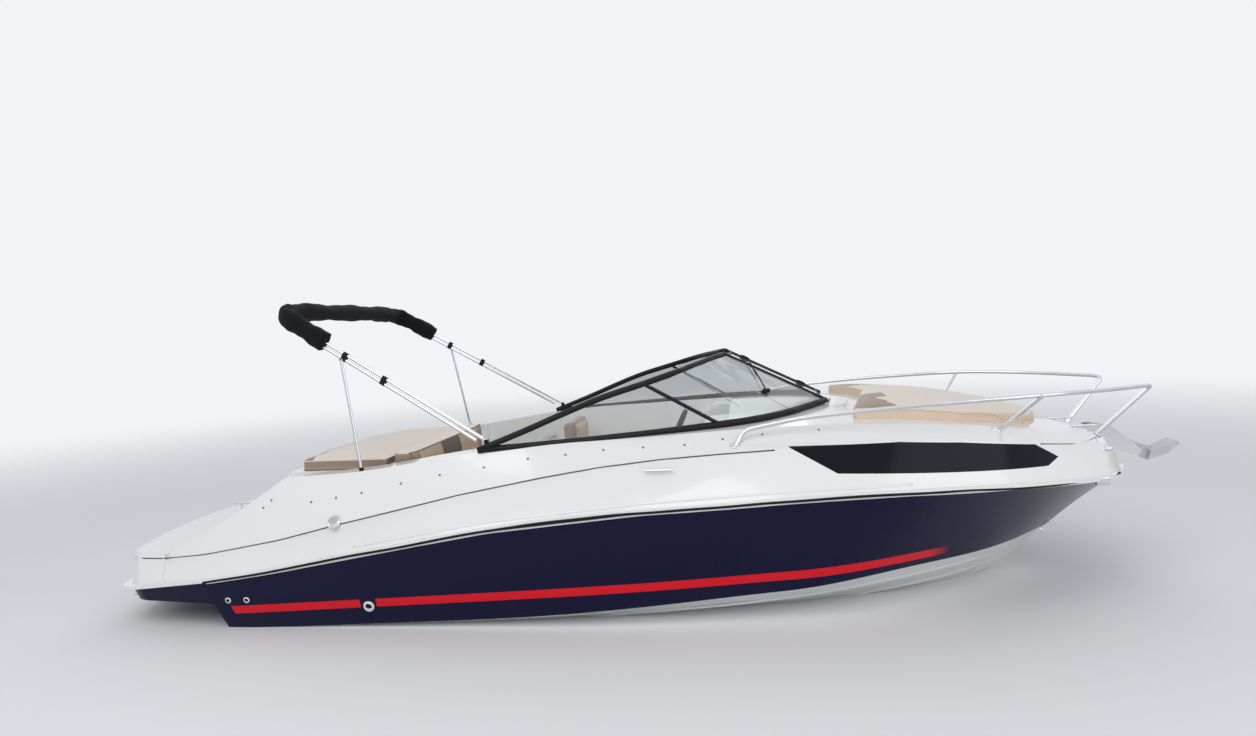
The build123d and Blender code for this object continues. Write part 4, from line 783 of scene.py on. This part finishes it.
def makeChairs():
    half, y, foot, top = chair["half"], chair["sides"][0], chair["backFoot"], chair["backTop"]
    box = ((chair["x"] - half - chair["lean"], y - half, chair["lowest"]),
           (chair["x"] + half, y + half, chair["highest"]))
    seatShape = boxShape((2 * half, 2 * half, chair["seat"][1] - chair["seat"][0]),
                         (chair["x"], y, sum(chair["seat"]) / 2), chair["bevel"])
    seat = puffed("chair_seat_starboard", seatShape, chair, box)
    backShape = boxShape((chair["back"][1] - chair["back"][0], 2 * half, top - foot),
                         (sum(chair["back"]) / 2, y, (top + foot) / 2), chair["bevel"])
    back = puffed("chair_back_starboard", backShape, chair, box, rest=())
    across = Matrix.Translation((0, chair["sides"][1] - y, 0))
    for form, finish, port in ((seat, "seatVinyl", "chair_seat_port"),
                               (back, "chairBack", "chair_back_port")):
        twin = bpy.data.objects.new(port, form.data.copy())
        twin.data.transform(across)
        bpy.context.scene.collection.objects.link(twin)
        asCushion(form, finish, replaces=("cockpit_seats",) if form is seat else ())
        asCushion(twin, finish)
        for piece, middle in zip((form, twin), chair["sides"]):
            if form is seat:
                level = chair["seat"][1] - chair["seatPipingDrop"]
                rim = [(chair["x"] + a * half, middle + b * half, level)
                       for a, b in ((-1, -1), (1, -1), (1, 1), (-1, 1))]
            else:
                front, low = chair["back"][1] - chair["backPipingIn"], chair["backPipingLow"]
                rim = [(front, middle + b * half, z) for b, z in ((-1, low), (-1, top), (1, top), (1, low))]
            pipe(piece.name + "_piping", piece, rim, radius=chair["pipingRadius"], closed=form is seat)
    print("chairs made")


makeChairs()

bowPad = {
    "voxel": 0.013, "inset": 0.006, "cap": 0.014, "sunk": 0.011, "swell": (0.004, 0.004, 0.008), "relaxed": 9,
    "edge": [(3.93, 0.79), (4.56, 0.74), (4.83, 0.60), (5.10, 0.35), (5.19, 0.12)],
    "pipingRun": (3.97, 5.14, 40), "pipingIn": 0.024, "pipingLift": 0.001, "pipingRadius": 0.0036,
}
berthPad = {"voxel": 0.018, "inset": 0.006, "cap": 0.014, "swell": (0, 0, 0.008)}


def puffedNode(name, node, pad):  # a cushion in the form of its solid
    made = bmesh.new()
    made.from_mesh(nodes[node].data)
    low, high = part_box(node)
    return puffed(name, cleaned(made, 0.0001), pad, (tuple(low), tuple(high + Vector(pad["swell"]))))


def makeBowPad():
    form = puffedNode("bow_sunpad_cushion", "bow_sunpad", bowPad)
    asCushion(form, "bowVinyl", replaces=("bow_sunpad",), relaxed=bowPad["relaxed"])
    tree = formTree(form)
    for hand, side in ((-1, "starboard"), (1, "port")):
        rim = []
        for x in spread(*bowPad["pipingRun"]):
            edge = (between(bowPad["edge"], x) - bowPad["pipingIn"]) * hand
            place, normal, index, distance = tree.ray_cast(Vector((x, edge, 2)), Vector((0, 0, -1)))
            if place:
                rim.append(place + normal * bowPad["pipingLift"])
        piping = tubeShape(rim, bowPad["pipingRadius"])
        asObject("bow_pad_piping_" + side, piping, "bowPiping", slot="cream_vinyl")
    print("bow pad made")


def makeBerth():
    form = puffedNode("cabin_berth_cushion", "berth_cushion", berthPad)
    asCushion(form, "taupe", replaces=("berth_cushion",), levels=0)
    print("berth made")


makeBowPad()
makeBerth()

boot = {
    "run": [(0.704, -0.904, 1.777), (0.56, -0.888, 1.868), (0.442, -0.872, 1.945), (0.408, -0.80, 1.972),
            (0.400, -0.60, 1.985), (0.405, -0.20, 1.980), (0.408, 0.25, 1.976), (0.410, 0.62, 1.966),
            (0.440, 0.83, 1.942), (0.56, 0.886, 1.868), (0.704, 0.904, 1.777)],
    "tall": 0.064, "thick": 0.050, "steps": 8, "sides": 28, "square": 3,
    "longSlack": (0.07, 0.61, 0), "shortSlack": (0.04, 1.57, 1), "fold": 0.03, "folds": 3, "twist": 0.35,
    "voxel": 0.009, "inset": 0.002, "cap": 0.008, "pressure": 1.5,
    "box": ((0.33, -0.97, 1.70), (0.80, 0.97, 2.062)),
}


def bootLine():  # a smooth line through the points of the run
    centre = [Vector(point) for point in boot["run"]]
    line = []
    for before, start, end, after in zip(centre[:1] + centre, centre, centre[1:], centre[2:] + centre[-1:]):
        for step in range(boot["steps"]):
            t = step / boot["steps"]
            bend = 2 * before - 5 * start + 4 * end - after
            turn = 3 * start - before - 3 * end + after
            line.append(0.5 * (2 * start + (end - before) * t + bend * t * t + turn * t ** 3))
    return line + centre[-1:]


def makeBoot():
    line, rings, made = bootLine(), [], bmesh.new()
    for step, spot in enumerate(line):
        way = (line[min(step + 1, len(line) - 1)] - line[max(step - 1, 0)]).normalized()
        side = way.cross(Vector((0.25, 0, 1))).normalized()
        up = side.cross(way).normalized()
        (long, rate, lag), (short, fast, late) = boot["longSlack"], boot["shortSlack"]
        slack = 1 + long * math.sin(step * rate + lag) + short * math.sin(step * fast + late)
        ring = []
        for turn in range(boot["sides"]):
            angle = math.tau * turn / boot["sides"]
            a, b = math.cos(angle), math.sin(angle)
            squared = (abs(a) ** boot["square"] + abs(b) ** boot["square"]) ** (-1 / boot["square"])
            fold = 1 + boot["fold"] * math.sin(boot["folds"] * angle + step * boot["twist"]) * slack
            ring.append(made.verts.new(spot + (side * (a * boot["thick"]) + up * (b * boot["tall"] * slack))
                                       * squared * fold))
        rings.append(ring)
    for ring, after in zip(rings, rings[1:]):
        walls(made, ring, after)
    made.faces.new(rings[0][::-1])
    made.faces.new(rings[-1])
    bmesh.ops.recalc_face_normals(made, faces=made.faces)
    form = puffed("canvas_boot", made, boot, boot["box"], rest=())
    asCushion(form, "canvas", "bimini_body", ("bimini_boot",))
    print("boot made")


makeBoot()

windshield = {
    "top": [(1.709, 1.038, 1.080), (1.972, 1.022, 1.173), (2.219, 1.006, 1.271), (2.465, 0.968, 1.362),
            (2.716, 0.905, 1.428), (2.930, 0.780, 1.489), (3.045, 0.560, 1.521), (3.188, 0.270, 1.554)],
    "sill": [(1.709, 1.038, 1.080), (2.453, 1.002, 1.118), (3.163, 0.897, 1.167), (3.400, 0.800, 1.182),
             (3.610, 0.615, 1.198), (3.840, 0.270, 1.222)],
    "topRadius": 0.0195, "sillRadius": 0.0205, "topShort": 0.09, "sillShort": 0.06,
}


def makeWindshield():
    for hand, side in ((-1, "starboard"), (1, "port")):
        caps = []
        for name in ("top", "sill"):
            run = [(x, y * hand, z) for x, y, z in windshield[name]]
            run[-1] = tuple(Vector(run[-1]).lerp(Vector(run[-2]), windshield[name + "Short"]))
            caps.append(tubeShape(run, windshield[name + "Radius"]))
        asObject("windshield_caps_" + side, joined(caps), "frameBlack", slot="black_metal")
    print("windshield caps made")


makeWindshield()


def rail(x, hand):  # where the outermost point of the rub rail lies
    level = between(sideLines["rub"], x)
    best = None
    for z in spread(level - 0.03, level + 0.03, 13):
        place, normal, index, distance = railTree.ray_cast(Vector((x, 3 * hand, z)), Vector((0, -hand, 0)))
        if place and (best is None or abs(place.y) > abs(best.y)):
            best = place
    return best


def railInserts():
    for hand, side in ((-1, "starboard"), (1, "port")):
        run = [place for place in (rail(x, hand) for x in spread(*sideLines["insertRun"])) if place]
        insert = tubeShape(eased(run, 12), sideLines["insertRadius"])
        asObject("rail_insert_" + side, insert, "rubber", slot="black_rubber")
    print("rail inserts made")


railInserts()

# places are (x, z) on the side and (x, y) on the deck; outlets are (x, z, radius); sizes are whole boxes
fittings = {
    "cap": (0.822, 0.682), "capRadius": 0.043, "capRing": (0.036, 0.0035), "capGrip": (0.05, 0.006, 0.007),
    "outlets": [(0.990, 0.159, 0.033), (0.064, 0.202, 0.019), (0.191, 0.205, 0.019)],
    "outletShares": {"ring": 0.80, "thick": 0.24, "hole": 0.62},
    "feet": [(3.25, 1.095), (5.505, 0.25), (4.763, 0.738)], "footRadii": (0.031, 0.027),
    "navigation": (5.49, 0.868), "navigationSize": (0.062, 0.03, 0.024),
    "railFitting": 5.36, "railFittingSize": (0.075, 0.03, 0.05),
    "wiper": ((3.43, 0.55, 1.29), (3.367, 0.335, 1.43)), "wiperLift": 0.022,
    "wiperFoot": (0.05, 0.035, 0.028), "wiperArm": 0.0045, "wiperBlade": 0.0055,
    "fairing": ((3.868, 3.982), (-0.37, -0.275), 1.248), "fairingBevel": 0.012,
}


def fuelCap():
    place, normal = sideHit(*fittings["cap"], -1)
    turn = Vector((0, 0, 1)).rotation_difference(normal).to_matrix()
    caps = [discShape(fittings["capRadius"], 0.012, place + normal * 0.006, normal, 0.003, 40),
            ringShape(*fittings["capRing"], place + normal * 0.012, normal),
            boxShape(fittings["capGrip"], place + normal * 0.0145, 0.002, turn)]
    asObject("fuel_cap", joined(caps), "steel", slot="stainless")


def smallFittings():
    fuelCap()
    outlets = treeOf("hull_fittings", "hull_topsides")
    shares, (footRadius, footTop) = fittings["outletShares"], fittings["footRadii"]
    for hand, side in ((-1, "starboard"), (1, "port")):
        rings, holes, feet = [], [], []
        for x, z, radius in fittings["outlets"]:
            normal = sideHit(x, z, hand)[1]
            place = outlets.ray_cast(Vector((x, 3 * hand, z)), Vector((0, -hand, 0)))[0]
            rings.append(ringShape(radius * shares["ring"], radius * shares["thick"], place, normal, 36, 10))
            # painted shade: a black disc stands for the dark inside of each outlet's open hole
            holes.append(discShape(radius * shares["hole"], 0.003, place + normal * 0.0025, normal, 0, 28))
        asObject("outlet_rings_" + side, joined(rings), "white", slot="white_gelcoat")
        asObject("outlet_hole_shade_" + side, joined(holes), "rubber", slot="black_rubber")
        for x, y in fittings["feet"]:
            place, normal = topHit(x, y * hand)
            feet.append(discShape(footRadius, 0.007, place + normal * 0.003, normal, 0.002, 32, footTop))
        place, normal = sideHit(*fittings["navigation"], hand)
        feet.append(boxShape(fittings["navigationSize"], place + normal * 0.006, 0.006))
        feet.append(boxShape(fittings["railFittingSize"], rail(fittings["railFitting"], hand), 0.008))
        asObject("rail_feet_" + side, joined(feet), "steel", slot="stainless")
    print("small fittings made")


smallFittings()


def makeWiper():
    panes = treeOf("windshield_glass")
    ends = []
    for x, y, z in fittings["wiper"]:
        near, normal, index, distance = panes.find_nearest(Vector((x, -y, z)))
        out = normal if normal.x > 0 else -normal
        ends.append(near + out * fittings["wiperLift"])
    foot, tip = ends
    along = (tip - foot).normalized()
    bent = [foot, foot.lerp(tip, 0.5) + Vector((0.006, -0.006, 0)), tip]
    blade = [tip - along * 0.07 + Vector((0, 0, -0.004)), tip + along * 0.10]
    arm = [tubeShape(bent, fittings["wiperArm"]), boxShape(fittings["wiperFoot"], foot, 0.008),
           tubeShape(blade, fittings["wiperBlade"])]
    asObject("wiper", joined(arm), "frameBlack", slot="black_metal")
    print("wiper made")


def makeFairing():  # the white block ahead of the windshield, wider at its foot
    (x0, x1), (y0, y1), top = fittings["fairing"]
    made = bmesh.new()
    spots = [(x0 - 0.03, y0 - 0.02), (x1 - 0.035, y0 - 0.02), (x1 - 0.035, y1), (x0 - 0.03, y1)]
    heads = [(x0, y0, 0), (x1, y0, 0.012), (x1, y1 - 0.005, 0.012), (x0, y1 - 0.005, 0)]
    low = [made.verts.new((x, y, topHit(x, y)[0].z - 0.004)) for x, y in spots]
    high = [made.verts.new((x, y, top - drop)) for x, y, drop in heads]
    made.faces.new(low[::-1])
    made.faces.new(high)
    walls(made, low, high)
    bmesh.ops.recalc_face_normals(made, faces=made.faces)
    rounded(made, made.edges[:], fittings["fairingBevel"])
    asObject("windshield_fairing", made, "white", slot="white_gelcoat")
    print("fairing made")


makeWiper()
makeFairing()

lining = {
    "fore": 1.125, "corner": 1.07, "aft": 0.42, "low": 0.84, "foot": 0.472,
    "inner": 0.8955, "outer": 0.8995, "under": 0.93, "gap": 0.004, "count": 20,
}


def walkwayLining():  # closes the slot between the coaming and the walkway's outer wall
    fore, aft, corner, low, foot = [lining[key] for key in ("fore", "aft", "corner", "low", "foot")]
    edge = [(x, topHit(x, lining["under"])[0].z - lining["gap"]) for x in spread(aft, fore, lining["count"])]
    ring = edge + [(fore, foot), (corner, foot), (corner, low), (aft, low)]
    made = bmesh.new()
    near, far = [[made.verts.new((x, y, z)) for x, z in ring] for y in (lining["inner"], lining["outer"])]
    made.faces.new(near)
    made.faces.new(far)
    walls(made, near, far)
    bmesh.ops.recalc_face_normals(made, faces=made.faces)
    bmesh.ops.triangulate(made, faces=[face for face in made.faces if len(face.verts) > 4])
    asObject("walkway_lining", made, "white", smooth=False, slot="white_gelcoat")
    print("walkway lining made")


walkwayLining()

# gauges are (y, radius)
helm = {
    "gauges": [(-0.62, 0.026), (-0.53, 0.040), (-0.41, 0.040), (-0.32, 0.026)],
    "gaugeZ": 1.112, "gaugeLift": 0.002,
    "throttle": (-0.80, 0.90), "throttleBase": (0.03, 0.075, 0.15), "throttleGrip": (0.036, 0.05, 0.05),
    "hub": (2.85, -0.47, 1.04), "axis": (-0.9063, 0, 0.4226), "wheelRadius": 0.178, "gripRadius": 0.0152,
    "capRadius": 0.034, "capHeight": 0.008, "capLift": 0.021, "ahead": 2.4,
}


def gauges(console):
    rims, faces = [], []
    for y, radius in helm["gauges"]:
        place, normal, index, distance = console.ray_cast(Vector((helm["ahead"], y, helm["gaugeZ"])),
                                                          Vector((1, 0, 0)))
        rims.append(ringShape(radius, 0.0035, place + normal * helm["gaugeLift"], normal, 32, 8))
        faces.append(discShape(radius, 0.004, place + normal * helm["gaugeLift"], normal, 0, 32))
    asObject("gauge_rims", joined(rims), "silver", slot="stainless")
    asObject("gauge_faces", joined(faces), "face", slot="grey_plastic")


def throttle(console):
    y, z = helm["throttle"]
    place = console.ray_cast(Vector((helm["ahead"], y, z)), Vector((1, 0, 0)))[0]
    arm = [place + Vector((aft, 0, up)) for aft, up in ((-0.03, 0), (-0.075, 0.05), (-0.09, 0.15))]
    lever = [boxShape(helm["throttleBase"], place + Vector((-0.012, 0, 0)), 0.008), tubeShape(arm, 0.008),
             boxShape(helm["throttleGrip"], place + Vector((-0.09, 0, 0.16)), 0.014)]
    asObject("throttle_lever", joined(lever), "frameBlack", slot="black_metal")


def helmDetails():
    console = treeOf("helm_console")
    gauges(console)
    throttle(console)
    hub, axis = Vector(helm["hub"]), Vector(helm["axis"])
    grip = ringShape(helm["wheelRadius"], helm["gripRadius"], hub, axis, 64, 14)
    asObject("wheel_grip", grip, "rubber", "wheel_body", slot="black_rubber")
    cap = discShape(helm["capRadius"], helm["capHeight"], hub + axis * helm["capLift"], axis, 0.003, 32)
    asObject("wheel_cap", cap, "silver", "wheel_body", slot="stainless")
    print("helm details made")


helmDetails()

# the floor fades into the bright background between two distances from the boat's middle
studio = {
    "floorSize": 300, "middle": 2.4, "fade": (4.5, 17.0),
    "floorTones": ((0.84, 0.85, 0.86, 1), (0.88, 0.89, 0.90, 1)),
    "light": (0.93, 0.95, 1.0, 1), "lightStrength": 0.50,
    "background": (0.93, 0.95, 0.98, 1), "brightness": 0.95,
    "lamps": [  # name, place, aim, size, power
        ("key", (0.5, -7.0, 7.5), (2.6, 0, 0.6), 7.5, 350),
        ("fill", (9.0, -5.0, 3.5), (3.0, 0, 0.6), 5.0, 95),
        ("back", (2.0, 8.0, 6.0), (2.6, 0, 0.8), 5.0, 110),
    ],
}


def makeFloor():
    made = boxShape((studio["floorSize"], studio["floorSize"], 0.02), (studio["middle"], 0, -0.01))
    mesh = bpy.data.meshes.new("floor")
    made.to_mesh(mesh)
    made.free()
    ground = Finish("studio_floor", Roughness=0.85)
    ground.feed("Base Color", ground.blend(ground.noise(0.4, 2.0), *studio["floorTones"]))
    x, y, z = ground.axes()
    far = ((x - studio["middle"]).maths("POWER", 2.0) + y * y).maths("SQRT")
    near, end = studio["fade"]
    rim = ground.node("ShaderNodeMapRange", {"clamp": True, "interpolation_type": "SMOOTHSTEP"}, {
        "Value": far, "From Min": near, "From Max": end,
    })
    glow = ground.node("ShaderNodeEmission", {}, {
        "Color": studio["background"], "Strength": studio["brightness"],
    })
    seenFar = rim * ground.node("ShaderNodeLightPath", out="Is Camera Ray")
    skin = Wire(ground, ground.shader.outputs[0])
    mixed = ground.node("ShaderNodeMixShader", {}, {0: seenFar, 1: skin, 2: glow})
    ground.tree.links.new(mixed.socket, ground.tree.nodes["Material Output"].inputs["Surface"])
    mesh.materials.append(ground.material)
    piece = bpy.data.objects.new("floor", mesh)
    bpy.context.scene.collection.objects.link(piece)
    print("floor made")


def makeWorld():  # bright to the camera and in reflections, dimmer as a light
    world = bpy.data.worlds.new("studio")
    bpy.context.scene.world = world
    world.use_nodes = True
    tree = world.node_tree
    dim = tree.nodes["Background"]
    bright = tree.nodes.new("ShaderNodeBackground")
    for node, colour, strength in ((dim, studio["light"], studio["lightStrength"]),
                                   (bright, studio["background"], studio["brightness"])):
        node.inputs["Color"].default_value = colour
        node.inputs["Strength"].default_value = strength
    paths = tree.nodes.new("ShaderNodeLightPath")
    seen = tree.nodes.new("ShaderNodeMath")
    seen.operation = "MAXIMUM"
    tree.links.new(paths.outputs["Is Camera Ray"], seen.inputs[0])
    tree.links.new(paths.outputs["Is Glossy Ray"], seen.inputs[1])
    mixer = tree.nodes.new("ShaderNodeMixShader")
    for socket, wire in enumerate((seen, dim, bright)):
        tree.links.new(wire.outputs[0], mixer.inputs[socket])
    tree.links.new(mixer.outputs[0], tree.nodes["World Output"].inputs["Surface"])


def makeLamps():
    for name, place, aim, size, power in studio["lamps"]:
        data = bpy.data.lights.new(name, "AREA")
        data.energy = power
        data.size = size
        lamp = bpy.data.objects.new(name, data)
        lamp.location = place
        lamp.rotation_mode = "QUATERNION"
        lamp.rotation_quaternion = (Vector(aim) - Vector(place)).to_track_quat("-Z", "Y")
        bpy.context.scene.collection.objects.link(lamp)
    print("lamps set")


makeFloor()
makeWorld()
makeLamps()
bpy.context.scene.view_settings.view_transform = "Standard"

print("scene finished")
